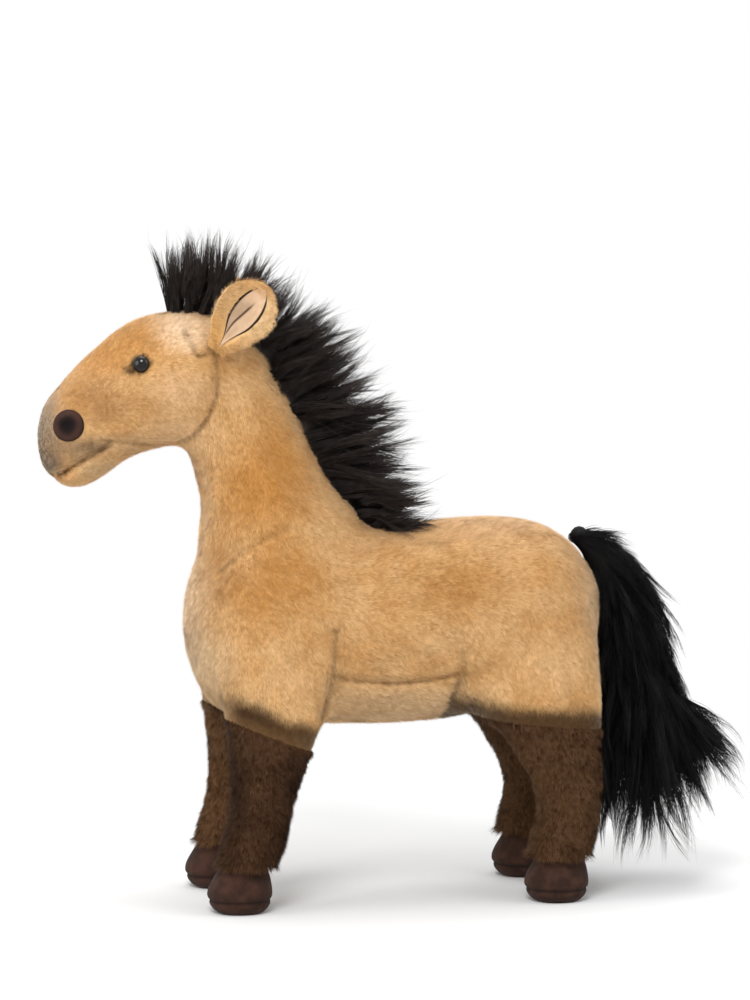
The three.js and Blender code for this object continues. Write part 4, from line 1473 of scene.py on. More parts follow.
    def length_shares(self, points: Array) -> Array:
        """Gives how long the pile is: short on the muzzle and round the eyes and seams.

        Args:
            points: Points of the skin.

        Returns:
            Shares of the full length.
        """
        x, z = points[:, 0] / MM, points[:, 2] / MM
        muzzle = 1 - 0.5 * (1 - smooth_step(-140, -112, x)) * smooth_step(170, 180, z)
        eye = side_gap(points, *EYE_PLACE)
        head = 1 - 0.18 * (1 - smooth_step(-90, -75, x)) * smooth_step(185, 200, z)
        lids = 1 - 0.45 * (1 - smooth_step(4, 9, eye))
        return muzzle * head * lids

    def sink(self, mesh: Mesh) -> None:
        """Sinks the skin so that the pile's tips end where the outside is.

        Args:
            mesh: The skin, which is changed.
        """
        points = get_points(mesh)
        full = self.nap.length * self.length_shares(points) * self.sink_share
        below = self.hem_drop(points)
        low = self.stocking_nap.length * self.sink_share - self.hem_ridge * np.exp(-((below - 1.6) / 1.6) ** 2)
        height = points[:, 2] / MM
        depth = np.where(below > 0, low, full)
        depth = np.where(height < self.cuff, 0.0, depth)
        set_points(mesh, points - Skin.from_mesh(mesh).normals() * depth[:, None])

    def hem_drop(self, points: Array) -> Array:
        """Measures how far points lie below a stocking's top.

        Args:
            points: Points in metres.

        Returns:
            Distances in mm, below nought above the tops.
        """
        x, z = points[:, 0] / MM, points[:, 2] / MM
        result = np.full(len(points), -50.0)
        for fore, hem in ((True, self.fore_hem), (False, self.hind_hem)):
            result = np.where(x < self.fore_limit if fore else x > self.hind_limit, hem.top(x) - z, result)
        return result

    def dress(self, mesh: Mesh) -> list[Object]:
        """Cuts the skin at the stockings' tops, and sets the pile on each part.

        Args:
            mesh: The whole skin.

        Returns:
            The pieces.
        """
        cut = bmesh.new()
        cut.from_mesh(mesh)
        for top in (self.fore_hem, self.hind_hem):
            (x0, z0), (x1, z1) = top.front, top.back
            low = [face for face in cut.faces if face.calc_center_median().z < 0.095]
            low = [face for face in low if (face.calc_center_median().x < 0) == (x0 < 0)]
            bisect(cut, low, Vector((x0, 0, z0)) * MM, Vector((z0 - z1, 0, x1 - x0)).normalized())
        low = [face for face in cut.faces if face.calc_center_median().z < 0.03]
        bisect(cut, low, Vector((0, 0, self.cuff * MM)), Vector(UP), clear=True)
        cut.to_mesh(mesh)
        cut.free()
        whole = Skin.from_mesh(mesh)
        self.skin = whole
        centres = whole.corners().mean(1)
        brown = self.hem_drop(centres) > 0
        _, near = self.seam_depth_at(whole.points)
        hem = np.exp(-(np.minimum(self.hem_drop(whole.points), 0) / 1.8) ** 2)
        lengths = self.length_shares(whole.points) * (1 - 0.62 * near) * (1 - 0.55 * hem)
        soot = self.soot_at(whole.points)
        tan, brown_finish = TAN.material(), BROWN.material()
        pelt = self.part_piece("pelt", whole, ~brown, self.seam_line(whole.points), soot, tan)
        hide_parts(*[n for n in self.soft_nodes() if "stocking" not in n])
        pieces = [pelt]
        bare = self.bare_places(whole.points)
        ones = np.ones(len(whole.points))
        for part in pile_meshes("pelt_pile", whole.part(~brown), self.nap, 5, lengths, 1 - bare, self.seam_line, soot):
            pieces.append(show(part.name, part, tan))
        for leg, fore in (("fore", True), ("hind", False)):
            for side in Side:
                keep = brown & ((centres[:, 0] < 0) == fore) & ((centres[:, 1] < 0) == (side is Side.LEFT))
                name = f"{leg}_stocking_{side.word}"
                sock = self.part_piece(f"{name}_skin", whole, keep, near * 0, near * 0, brown_finish)
                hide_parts(name)
                pieces.append(sock)
                skirt = 1 + 0.6 * np.exp(-((whole.points[:, 2] / MM - self.cuff) / 3.0) ** 2)
                seed = 20 + len(pieces)
                for part in pile_meshes(f"{name}_pile", whole.part(keep), self.stocking_nap, seed, skirt, ones):
                    pieces.append(show(part.name, part, brown_finish))
        for piece in pieces:
            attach(piece, ROOT_BODY)
        return pieces

    def bare_places(self, points: Array) -> Array:
        """Says where no pile grows, from 0 to 1 under the eyes and the nostril patches."""
        eye, nostril = side_gap(points, *EYE_PLACE), side_gap(points, *NOSTRIL_PLACE)
        return np.maximum(1 - smooth_step(2.4, 3.4, eye), 1 - smooth_step(5.6, 6.8, nostril))

    def part_piece(
        self, name: str, whole: Skin, keep: Array, near: Array, soot: Array, finish: Material,
    ) -> Object:
        """Makes one skin from some of the whole skin's faces.

        Args:
            name: Name of the piece.
            whole: The whole skin.
            keep: True for each face that it has.
            near: Strength of the dark seam line at each point, painted shade over the seams' own joints.
            soot: Strength of the dark airbrush and of the painted crease shade at each point.
            finish: Its material.

        Returns:
            The new piece.
        """
        used, faces = np.unique(whole.faces[keep], return_inverse=True)
        mesh = build_mesh(name, whole.points[used], faces.reshape(-1, 3))
        shade_smooth(mesh)
        # Painted shade: the skin under the pile takes the darker root colour.
        add_values(mesh, "along", np.full(len(used), 0.25))
        add_values(mesh, "tone", np.full(len(used), 0.5))
        add_values(mesh, "seam", near[used])
        add_values(mesh, "soot", soot[used])
        return show(name, mesh, finish)


@dataclass
class Hooves:
    """Four stuffed suede hooves with a seam above the sole."""

    voxel: float = 0.001
    fairing: int = 14
    seam_height: float = 5.6
    seam_width: float = 0.8
    seam_depth: float = 0.8
    toe_slope: float = 0.26
    heel_slope: float = 0.06
    side_slope: float = 0.16

    def build(self) -> list[Object]:
        """Makes the four hooves.

        Returns:
            The pieces, each with its wall and sole in one.
        """
        finish = SUEDE.material()
        pieces = []
        for leg in ("fore", "hind"):
            for side in Side:
                nodes = [f"{leg}_hoof_wall_{side.word}", f"{leg}_hoof_sole_{side.word}"]
                mesh = remeshed(nodes, self.voxel, 0.0003)
                points = faired(get_points(mesh), mesh_edges(mesh), self.fairing)
                points[:, 2] = np.maximum(points[:, 2], 0.0)
                middle = (points.min(0) + points.max(0)) / 2
                ahead = points[:, 0] < middle[0]
                slope = np.where(ahead, self.toe_slope, self.heel_slope)
                pull = np.stack((slope, np.full(len(points), self.side_slope)), axis=1)
                rise = smooth_step(7.0, 20.0, points[:, 2] / MM)[:, None]
                points[:, :2] = middle[:2] + (points[:, :2] - middle[:2]) * (1 - pull * rise)
                set_points(mesh, points)
                near = np.exp(-((points[:, 2] / MM - self.seam_height) / self.seam_width) ** 2)
                set_points(mesh, points - Skin.from_mesh(mesh).normals() * (near * self.seam_depth * MM)[:, None])
                shade_smooth(mesh)
                add_values(mesh, "seam", near * 0.7)
                piece = show(f"{leg}_hoof_{side.word}", mesh, finish)
                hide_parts(*nodes)
                pieces.append(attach(piece, ROOT_BODY))
        return pieces


@dataclass
class Ears:
    """Two cupped ears: pile backs and felt linings with sprayed edges."""

    seat: Place = (-80.3, -27.7626, 239.731)
    upward: Place = (0.6, -0.14, 0.79)
    facing: Place = (-0.2, -0.93, -0.2)
    length: float = 35.0
    width: float = 27.0
    cup: float = 4.2
    rows: int = 96
    columns: int = 72
    fold: Table = ((0.1, 0.8), (0.3, 0.4), (0.5, 0.12), (0.75, -0.12), (0.9, -0.2))
    widths: Table = (
        (0.0, 0.26), (0.12, 0.44), (0.3, 0.74), (0.52, 0.96), (0.7, 0.97), (0.84, 0.78), (0.93, 0.52), (0.98, 0.27),
        (1.0, 0.1),
    )
    thickness: tuple[float, float] = (0.4, 1.92)
    weld: float = 5e-5
    nap: Nap = Nap(density=8.0e6, length=0.0024, width=0.00026, lean=36, lean_spread=14)
    lining_rows: int = 130
    lining_columns: int = 100
    lining_span: tuple[float, float] = (0.03, 0.95)

    def axes(self) -> tuple[Array, Array, Array, Array]:
        """Works out how the left ear stands.

        Returns:
            Its seat, and its upward, facing and across directions.
        """
        up = unit(np.array(self.upward))
        face = np.array(self.facing)
        face = unit(face - (face @ up) * up)
        return np.array(self.seat) * MM, up, face, unit(np.cross(face, up))

    def spot(self, place: Array, side: Array, layer: float, width_share: float) -> Array:
        """Gives points of the leaf.

        Args:
            place: Share of the ear's length.
            side: Share of the half width, from -1 to 1.
            layer: Distance in front of the leaf's middle sheet in mm.
            width_share: Share of the ear's width.

        Returns:
            Points in metres.
        """
        seat, up, face, across = self.axes()
        half = self.width / 2 * width_share * table_at(place, self.widths)
        curl = self.cup * (side * half / (self.width / 2)) ** 2
        return (
            seat + up * (self.length * place * MM)[..., None] + across * (half * side * MM)[..., None]
            + face * ((curl + layer) * MM)[..., None]
        )

    def build(self) -> list[Object]:
        """Makes both ears."""
        tan, felt = EAR_TAN.material(), FELT.material()
        return [piece for side in Side for piece in self.one_ear(side, tan, felt)]

    def leaf(self, side: Side, mirror: Array) -> Mesh:
        """Makes the cupped back: two sheets that meet at the rim.

        Args:
            side: Which ear.
            mirror: Signs that turn the left ear into this one.

        Returns:
            The mesh.
        """
        place, across = np.meshgrid(np.linspace(0, 1, self.rows), np.linspace(-1, 1, self.columns), indexing="ij")
        rim = np.sqrt(np.maximum(1 - across ** 2, 0))
        middle = self.spot(place, across, 0.0, 0.94)
        sheets = [
            middle + self.axes()[2] * (thick * rim * MM)[..., None] for thick in (self.thickness[0], -self.thickness[1])
        ]
        quads = grid_faces(self.rows, self.columns)
        inner, outer = (quads[:, ::-1], quads) if side is Side.LEFT else (quads, quads[:, ::-1])
        faces = np.concatenate((inner, outer + self.rows * self.columns)).tolist()
        points = np.concatenate(sheets).reshape(-1, 3) * mirror
        mesh = outward_mesh(f"ear_back_{side.word}", points, faces, merge=self.weld)
        # Painted shade: the back under the ear pile takes a darker root colour.
        for name, value in (("along", 0.4), ("tone", 0.5), ("seam", 0.0)):
            add_values(mesh, name, np.full(len(mesh.vertices), value))
        return mesh

    def one_ear(self, side: Side, tan: Material, felt: Material) -> list[Object]:
        """Makes one ear.

        Args:
            side: Which ear.
            tan: Finish of the back.
            felt: Finish of the lining.

        Returns:
            Its pieces.
        """
        mirror = np.array((1, -side.value, 1))
        mesh = self.leaf(side, mirror)
        skin = Skin.from_mesh(mesh)
        body = f"ear_{side.word}"
        shell = show(f"ear_back_skin_{side.word}", mesh, tan)
        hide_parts(f"ear_back_{side.word}")
        pieces = [shell]
        seat, up, face, over = self.axes()
        local = (skin.points * mirror - seat) / MM
        height = local @ up / self.length
        half = self.width / 2 * table_at(height, self.widths)
        lateral = np.abs(local @ over) / np.maximum(half, 0.1)
        fronting = (skin.normals() * mirror) @ face
        under_lining = (fronting > 0.3) & (lateral < 0.5) & (height > 0.1) & (height < 0.86)
        density = np.where(under_lining, 0.0, 1.0)
        ones = np.ones(len(skin.points))
        for part in pile_meshes(f"ear_pile_{side.word}", skin, self.nap, 60 + side.value, ones, density):
            pieces.append(show(part.name, part, tan))
        lining = self.lining(side, mirror, felt)
        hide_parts(f"ear_lining_{side.word}")
        pieces.append(lining)
        for piece in pieces:
            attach(piece, body)
        return pieces

    def lining(self, side: Side, mirror: Array, felt: Material) -> Object:
        """Makes the felt lining with its fold, sprayed edge lines, and painted shade along the fold and on the strip
        beyond it.

        Args:
            side: Which ear.
            mirror: Signs that turn the left ear into this one.
            felt: Its finish.

        Returns:
            The lining.
        """
        rows, columns = self.lining_rows, self.lining_columns
        share, across = np.meshgrid(np.linspace(0, 1, rows), np.linspace(-1, 1, columns), indexing="ij")
        place = self.lining_span[0] + (self.lining_span[1] - self.lining_span[0]) * share
        leaf = 0.47 * np.sin(np.pi * share ** 1.5) ** 0.55 * smooth_step(-0.1, 0.5, share) + 0.012
        points = self.spot(place, (across * leaf - 0.07) / table_at(place, self.widths), 0.0, 1.0)
        beyond = across - table_at(share, self.fold)
        ends = smooth_step(0.1, 0.3, share) * (1 - smooth_step(0.66, 0.84, share))
        roll = 1.6 * (1 - smooth_step(-0.06, 0.12, beyond)) * np.exp(-(np.minimum(beyond, 0) / 0.6) ** 2) * ends
        lift = 1.0 - 0.9 * smooth_step(0.84, 1.0, np.abs(across)) + roll
        points = points + self.axes()[2] * (lift * MM)[..., None]
        quads = grid_faces(rows, columns)
        if side is Side.LEFT:
            quads = quads[:, ::-1]
        mesh = build_mesh(f"ear_lining_{side.word}", points.reshape(-1, 3) * mirror, quads)
        shade_smooth(mesh)
        within = smooth_step(0.03, 0.1, share) * (1 - smooth_step(0.93, 0.99, share))
        line = smooth_step(0.72, 0.82, np.abs(across)) * within
        # Painted shade: a dark line along the fold (crease) and a darker strip beyond it (shadow); the edge lines
        # (line) are sprayed colour.
        crease = 0.95 * np.exp(-((beyond - 0.07) / 0.09) ** 2) * ends
        shadow = 0.3 * smooth_step(0.0, 0.14, beyond) * ends
        add_values(mesh, "seam", np.clip(np.maximum(np.maximum(line, crease), shadow), 0, 1).ravel())
        return show(f"ear_lining_felt_{side.word}", mesh, felt)


@dataclass
class Eyes:
    """Two glossy domed eyes on shanks."""

    radius: float = 3.5
    dome: float = 2.5
    wrap: float = 0.62
    forward: float = -0.1107
    sunk: float = 0.0034
    facing: Place = (-0.32, 0.93, 0.14)
    rings: int = 28
    around: int = 64

    def build(self) -> list[Object]:
        """Makes both eyes and dresses the washers behind them.

        Returns:
            The eyes.
        """
        finish, washer = EYE_BLACK.material(), WASHER.material()
        angle = np.linspace(0, 2 * math.pi, self.around, endpoint=False)[:, None]
        quads = grid_faces(self.rings, self.around, closed=True)
        faces = quads[self.around:, ::-1].tolist() + [(0, *quad[2:]) for quad in quads[:self.around].tolist()]
        pieces = []
        for side in Side:
            wear(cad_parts[f"eye_washer_{side.word}"].data, washer)
            low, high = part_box(f"eye_{side.word}")
            face = unit(np.array(self.facing) * (1, side.value, 1))
            outward = max(abs(low.y), abs(high.y)) - self.sunk
            centre = np.array((self.forward, side.value * outward, (low.z + high.z) / 2))
            first, second = disc_axes(face)
            rows = []
            for turn in np.arange(self.rings) / (self.rings - 1) * math.pi * self.wrap:
                reach, height = self.radius * math.sin(turn), self.dome * math.cos(turn)
                rows.append(centre + (reach * (np.cos(angle) * first + np.sin(angle) * second) + height * face) * MM)
            mesh = outward_mesh(f"eye_{side.word}", np.concatenate(rows), faces, merge=1e-7)
            piece = show(f"eye_dome_{side.word}", mesh, finish)
            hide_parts(f"eye_{side.word}")
            pieces.append(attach(piece, ROOT_BODY))
        return pieces


@dataclass
class Nostrils:
    """Two round suede patches, each dimpled in the middle."""

    radius: float = 6.9
    crown: float = 2.2
    dimple: float = 1.85
    dimple_share: float = 0.46
    dark: float = 0.97
    dark_rim: float = 0.6
    rings: int = 34
    around: int = 72

    def build(self, skin: Skin) -> list[Object]:
        """Makes both patches on the muzzle.

        Args:
            skin: The body's skin, which the patches lie on.

        Returns:
            The patches.
        """
        finish = NOSTRIL_SUEDE.material()
        tree = skin.tree()
        pieces = []
        for side in Side:
            beside = Vector((NOSTRIL_PLACE[0] * MM, side.value * 0.1, NOSTRIL_PLACE[1] * MM))
            hit, normal, _, _ = tree.ray_cast(beside, Vector((0, -side.value, 0)))
            centre, face = np.array(hit), unit(np.array(normal))
            first, second = disc_axes(face)
            angle = np.linspace(0, 2 * math.pi, self.around, endpoint=False)
            points, seam = [centre + face * (self.crown - self.dimple) * MM], [self.dark]
            for ring in range(1, self.rings):
                share = ring / (self.rings - 1)
                for turn in angle:
                    flat = centre + self.radius * MM * share * (math.cos(turn) * first + math.sin(turn) * second)
                    ground, _, _, _ = tree.ray_cast(Vector(flat + face * 0.02), Vector(-face))
                    ground = np.array(ground) if ground is not None else flat
                    dimple = self.dimple * math.exp(-(share / self.dimple_share) ** 2)
                    crown = self.crown * math.sqrt(max(1 - share ** 4, 0.0)) - 0.5 * (share > 0.99)
                    points.append(ground + face * (crown - dimple) * MM)
                    inner = math.exp(-(share / (0.64 + 0.03 * math.sin(3 * turn + 1))) ** 5)
                    rim = math.exp(-((share - 1) / 0.08) ** 2)
                    seam.append(min(1.0, self.dark * inner + self.dark_rim * rim))
            faces = [(0, 1 + k, 1 + (k + 1) % self.around) for k in range(self.around)]
            faces += (grid_faces(self.rings - 1, self.around, closed=True)[:, [0, 3, 2, 1]] + 1).tolist()
            mesh = outward_mesh(f"nostril_{side.word}", np.array(points), faces, first_way=face)
            add_values(mesh, "seam", np.array(seam))
            piece = show(f"nostril_patch_{side.word}", mesh, finish)
            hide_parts(f"nostril_{side.word}")
            pieces.append(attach(piece, ROOT_BODY))
        return pieces


@dataclass
class Mane:
    """Forelock and mane: locks of long black pile along the crest."""

    guides: tuple[Place, ...] = (
        # place x, z inside the head and neck in mm, and the way out to the crest in degrees
        (-84.0, 240.0, 93.0), (-78.0, 238.0, 84.0), (-72.0, 232.0, 66.0), (-68.0, 222.0, 46.0), (-62.0, 208.0, 38.0),
        (-54.0, 194.0, 38.0), (-46.0, 180.0, 40.0), (-34.0, 166.0, 48.0), (-20.0, 154.0, 66.0), (-8.0, 148.0, 80.0),
    )
    rooms: tuple[tuple[float, float, float, float], ...] = (
        # place x, z of the root in mm, lock length in mm, and the way it points in degrees
        (-94.0, 252.0, 30.0, 94.0), (-87.0, 254.0, 34.0, 87.0), (-79.0, 255.0, 35.0, 76.0), (-70.0, 252.0, 34.0, 60.0),
        (-62.0, 244.0, 34.0, 45.0), (-54.0, 230.0, 38.0, 32.0), (-45.0, 214.0, 42.0, 23.0), (-36.0, 198.0, 43.0, 14.0),
        (-26.0, 184.0, 41.0, 5.0), (-14.0, 172.0, 34.0, -1.0), (-4.0, 166.0, 22.0, -2.0),
    )
    strands: int = 22000
    locks: int = 480
    lifted: float = 0.6
    lock_share: tuple[float, float] = (0.55, 1.22)
    strand_share: tuple[float, float] = (0.74, 1.03)
    unrest: float = 12.0
    side_tilt: float = 0.03
    tufts: int = 3
    tuft_gap: float = 0.0015
    wisp: float = 0.0003
    stray_share: float = 0.08
    stray_spread: float = 3.2
    half_width: float = 11.0
    radius: float = 0.000115
    forelock_end: float = -0.066
    curve_points: int = 7
    taper: tuple[float, ...] = (1.0, 1.0, 0.95, 0.85, 0.65, 0.4)
    ears_end: float = -0.046
    ear_room: float = 0.018
    crest_points: int = 60
    ridge_share: float = 0.42
    ridge_width: float = 7.5
    ridge_steps: int = 17

    def build(self, skin: Skin) -> list[Object]:
        """Makes the forelock and the mane.

        Args:
            skin: The body's skin, which the hair grows from.

        Returns:
            The pieces.
        """
        rng = np.random.default_rng(31)
        finish = MANE_BLACK.material()
        tree = skin.tree()
        crest = []
        for x, z, degrees in self.guides:
            out = Vector((math.cos(math.radians(degrees)), 0, math.sin(math.radians(degrees))))
            crest.append(tuple(tree.ray_cast(Vector((x, 0, z)) * MM + out * 0.12, -out)[0]))
        crest = smooth_curve(np.array(crest), self.crest_points)
        keep = distance_to_line(skin.corners().mean(1), crest) < self.half_width * MM
        field_skin = skin.part(keep)
        area = field_skin.face_areas().sum()
        roots, faces, shares = scattered(field_skin, np.full(keep.sum(), self.strands / area), rng)
        normals = unit(spread_shares(field_skin, field_skin.normals(), faces, shares))
        seeds = roots[rng.choice(len(roots), self.locks, replace=False)]
        lock_of = Neighbours(seeds).nearest(roots)
        lock_length, mean_angle = self.room_at(seeds)
        lock_length = lock_length * rng.uniform(*self.lock_share, self.locks)
        lock_angle = mean_angle + rng.normal(0, self.unrest, self.locks) * np.where(seeds[:, 0] < -0.074, 0.65, 1.0)
        tilt = seeds[:, 1] / MM * self.side_tilt
        way = unit(pointing(lock_angle, rng.normal(0, 0.24, self.locks) + tilt))
        stem_way = unit(pointing(mean_angle, tilt))
        lift = np.where(rng.random(self.locks) < self.lifted, rng.uniform(0.1, 0.5, self.locks), 0.0) * lock_length * MM
        stem = stem_way * lift[:, None]
        tips = seeds + stem + way * (lock_length * MM - lift)[:, None]
        tuft_shift = rng.normal(0, 1.0, (self.locks, self.tufts, 3)) * self.tuft_gap
        tuft = rng.integers(0, self.tufts, len(roots))
        spread = rng.normal(0, 1.0, (len(roots), 3)) * self.wisp + tuft_shift[lock_of, tuft]
        reach = rng.uniform(*self.strand_share, len(roots))
        reach *= rng.uniform(0.86, 1.0, (self.locks, self.tufts))[lock_of, tuft]
        stray = rng.random(len(roots)) < self.stray_share
        spread[stray] *= self.stray_spread
        tip = seeds[lock_of] + (tips - seeds)[lock_of] * reach[:, None] + spread
        gathered = 0.2 * (lift > 0)[lock_of][:, None]
        roots = roots + (seeds[lock_of] - roots) * gathered + stem[lock_of] * rng.uniform(0.75, 1.0, (len(roots), 1))
        length = np.linalg.norm(tip - roots, axis=1, keepdims=True)
        rise = normals * 0.5 + way[lock_of] * 0.6
        bend = rng.normal(0, 0.07, (len(roots), 3)) + (rng.normal(0, 0.3, (self.locks, 3)))[lock_of]
        control = np.stack((
            roots - normals * 0.0015,
            roots + rise * length * 0.3,
            tip - (way[lock_of] + bend) * length * 0.35,
            tip,
        ), axis=1)
        paths = bezier(control, self.curve_points)
        between_ears = 1 - smooth_step(self.ears_end - 0.014, self.ears_end, paths[..., 0])
        narrowed = self.ear_room * np.tanh(paths[..., 1] / self.ear_room)
        paths[..., 1] += (narrowed - paths[..., 1]) * between_ears
        radii = self.radius * rng.uniform(0.75, 1.3, len(roots))[:, None] * np.array(self.taper)
        hair = Strands(paths, radii, rng.random(len(roots)))
        is_forelock = seeds[lock_of, 0] < self.forelock_end
        pieces = [self.backing(crest, finish)]
        pieces += hair.pieces("forelock", ROOT_BODY, np.flatnonzero(is_forelock), finish)
        return pieces + hair.pieces("mane", ROOT_BODY, np.flatnonzero(~is_forelock), finish)

    def backing(self, crest: Array, finish: Material) -> Object:
        """Makes the dense ridge of black pile ground that the locks stand in.

        Args:
            crest: The crest line on the skin.
            finish: The hair's finish.

        Returns:
            The ridge.
        """
        length, angle = self.room_at(crest)
        out = pointing(angle, 0 * angle)
        along = unit(np.gradient(crest, axis=0))
        normal = np.stack((-along[:, 2], 0 * angle, along[:, 0]), axis=1)
        normal *= np.sign((normal * out).sum(1))[:, None]
        share = np.linspace(0, 1, len(crest))
        full = np.sin(np.pi * np.clip(share + 0.05, 0.0, 1.0)) ** 0.35
        turn = np.linspace(0, math.pi, self.ridge_steps)
        height = np.sin(turn)[None, :] ** 1.5 * (self.ridge_share * length * full)[:, None]
        wide = np.cos(turn)[None, :] * (self.ridge_width * (0.3 + 0.7 * full))[:, None]
        sunk = 0.9 + wide ** 2 / 36.0
        points = (
            crest[:, None, :] + out[:, None, :] * (height * MM)[..., None]
            + np.array((0, 1, 0)) * (wide * MM)[..., None] - normal[:, None, :] * (sunk * MM)[..., None]
        )
        rows, columns = points.shape[:2]
        numbers = list(range(rows * columns))
        quads = grid_faces(rows, columns, closed=True)[:, [0, 3, 2, 1]].tolist()
        ends = [numbers[:columns], numbers[:-columns - 1:-1]]
        mesh = outward_mesh("mane_backing", points.reshape(-1, 3), quads + ends)
        add_values(mesh, "along", np.full(len(numbers), 0.2))
        add_values(mesh, "tone", np.full(len(numbers), 0.3))
        piece = show(mesh.name, mesh, finish)
        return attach(piece, ROOT_BODY)

    def room_at(self, points: Array) -> tuple[Array, Array]:
        """Reads the lock length and angle at points along the crest.

        Args:
            points: Root points in metres.

        Returns:
            Lengths in mm and angles in degrees.
        """
        rooms = np.array(self.rooms)
        gap = ((points[:, None, ::2] / MM - rooms[None, :, :2]) ** 2).sum(-1)
        weight = 1 / (gap + 12.0) ** 2
        weight /= weight.sum(1, keepdims=True)
        return weight @ rooms[:, 2], weight @ rooms[:, 3]


@dataclass
class Tail:
    """The tail: a sewn dock, and long black pile that hangs in layers from a core behind it."""

    spine: Table = (
        # x and z in mm of the core's middle line
        (81.3, 154.6), (86.0, 154.3), (91.2, 151.0), (97.0, 144.6), (103.4, 132.5), (108.0, 118.0), (112.0, 101.5),
        (116.8, 86.0), (124.0, 72.0),
    )
    core: Table = (
        # share of the way down and the core's radius in mm
        (0.0, 2.4), (0.04, 4.5), (0.1, 5.8), (0.2, 8.8), (0.35, 9.8), (0.6, 9.4), (1.0, 8.5),
    )
    core_steps: int = 64
    lengths: Table = ((0.0, 22.0), (0.3, 32.0), (0.6, 38.0), (1.0, 41.0))
    behind: Table = (
        # height z and the least x in mm, where the rump and the legs end
        (12.0, 98.5), (44.0, 95.0), (72.0, 92.5), (100.0, 91.0), (128.0, 88.0), (146.0, 84.0), (153.0, 81.5),
        (158.0, 80.5),
    )
    curve_points: int = 8
    taper: tuple[float, ...] = (0.9, 1.0, 1.0, 0.95, 0.85, 0.65, 0.4)
    ease_from: float = 0.157
    fan: float = 0.3
    droop: float = 0.12
    strands: int = 25000
    locks: int = 760
    lock_share: tuple[float, float] = (0.72, 1.14)
    strand_share: tuple[float, float] = (0.8, 1.02)
    tufts: int = 3
    tuft_gap: float = 0.0018
    wisp: float = 0.0005
    core_width: float = 1.25
    radius: float = 0.00011

    def build(self) -> list[Object]:
        """Makes the plume and dresses the dock.

        Returns:
            The pieces.
        """
        rng = np.random.default_rng(47)
        finish = TAIL_BLACK.material()
        shares, turns = rng.random(self.locks), rng.uniform(0, 2 * math.pi, self.locks)
        seeds, tangent, radial = self.on_core(shares, turns)
        toward = np.cos(turns)
        crown = smooth_step(0.02, 0.3, shares)
        fan = self.fan + np.maximum(toward, 0) * (0.4 * shares ** 4 - 0.22) + np.maximum(-toward, 0) * 0.3
        fan = fan * crown + rng.normal(0, 0.16, self.locks) * (0.3 + 0.7 * crown)
        fan = np.where(toward > 0, np.minimum(fan, 0.2 + 0.36 * smooth_step(0.5, 1.0, shares)), fan)
        unrest = rng.normal(0, 0.1, (self.locks, 3)) * (0.2 + 0.8 * crown)[:, None]
        way = unit(tangent + fan[:, None] * radial - self.droop * UP + unrest)
        length = table_at(shares, self.lengths) * MM * rng.uniform(*self.lock_share, self.locks)
        inner = 0.8 * np.maximum(-toward, 0) * smooth_step(0.3, 0.7, shares) * (1 - 0.5 * smooth_step(0.7, 1.0, shares))
        length *= 1 + inner + 0.25 * (1 - np.abs(toward)) * smooth_step(0.5, 0.9, shares)
        tips = seeds + way * length[:, None]
        places = rng.random(self.strands) ** 0.85
        around = rng.uniform(0, 2 * math.pi, self.strands)
        roots, root_tangent, root_radial = self.on_core(places, around + 0.3 * np.sin(around))
        lock_of = Neighbours(seeds).nearest(roots)
        tuft = rng.integers(0, self.tufts, self.strands)
        parting = rng.normal(0, self.tuft_gap, (self.locks, self.tufts, 3))[lock_of, tuft]
        reach = rng.uniform(*self.strand_share, self.strands)[:, None]
        tip = seeds[lock_of] + (tips - seeds)[lock_of] * reach + parting
        tip += rng.normal(0, self.wisp, (self.strands, 3))
        span = np.linalg.norm(tip - roots, axis=1, keepdims=True)
        splay = 0.04 + 0.46 * smooth_step(0.02, 0.3, places)[:, None]
        parted = rng.normal(0, 0.3, (self.strands, 3)) * splay
        leave = unit(root_tangent + splay * root_radial + parted - 0.3 * UP * (splay < 0.3))
        arrive = way[lock_of] - 0.3 * UP + rng.normal(0, 0.3, (self.locks, 3))[lock_of]
        control = np.stack((
            roots - root_radial * 0.001,
            roots + leave * span * 0.33,
            tip - unit(arrive) * span * 0.35,
            tip,
        ), axis=1)
        paths = bezier(control, self.curve_points)
        paths[..., 0] = np.maximum(paths[..., 0], table_at(paths[..., 2] / MM, self.behind) * MM)
        paths[..., 0] -= 0.5 * np.maximum(paths[..., 0] - self.ease_from, 0)
        radii = self.radius * rng.uniform(0.75, 1.3, self.strands)[:, None] * np.array(self.taper)
        hair = Strands(paths, radii, rng.random(self.strands))
        wear(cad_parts["tail_dock"].data, finish)
        return hair.pieces("tail_hair", "tail", np.arange(self.strands), finish)

    def on_core(self, shares: Array, turns: Array) -> tuple[Array, Array, Array]:
        """Gives places on the core's outside.

        Args:
            shares: Shares of the way down the core.
            turns: Turns about it, nought facing away from the body.

        Returns:
            The places, the core's direction and the way out from it there.
        """
        curve = smooth_curve(np.array(self.spine), self.core_steps)
        along = unit(np.gradient(curve, axis=0))
        marks = np.linspace(0, 1, self.core_steps)
        x, z, tx, tz = (np.interp(shares, marks, row) for row in (*curve.T, *along.T))
        radius = table_at(shares, self.core)
        radial = np.stack((-np.cos(turns) * tz, np.sin(turns), np.cos(turns) * tx), axis=1)
        place = np.stack((x, 0 * x, z), axis=1) + radial * radius[:, None] * np.array((1, self.core_width, 1))
        return place * MM, np.stack((tx, 0 * tx, tz), axis=1), radial


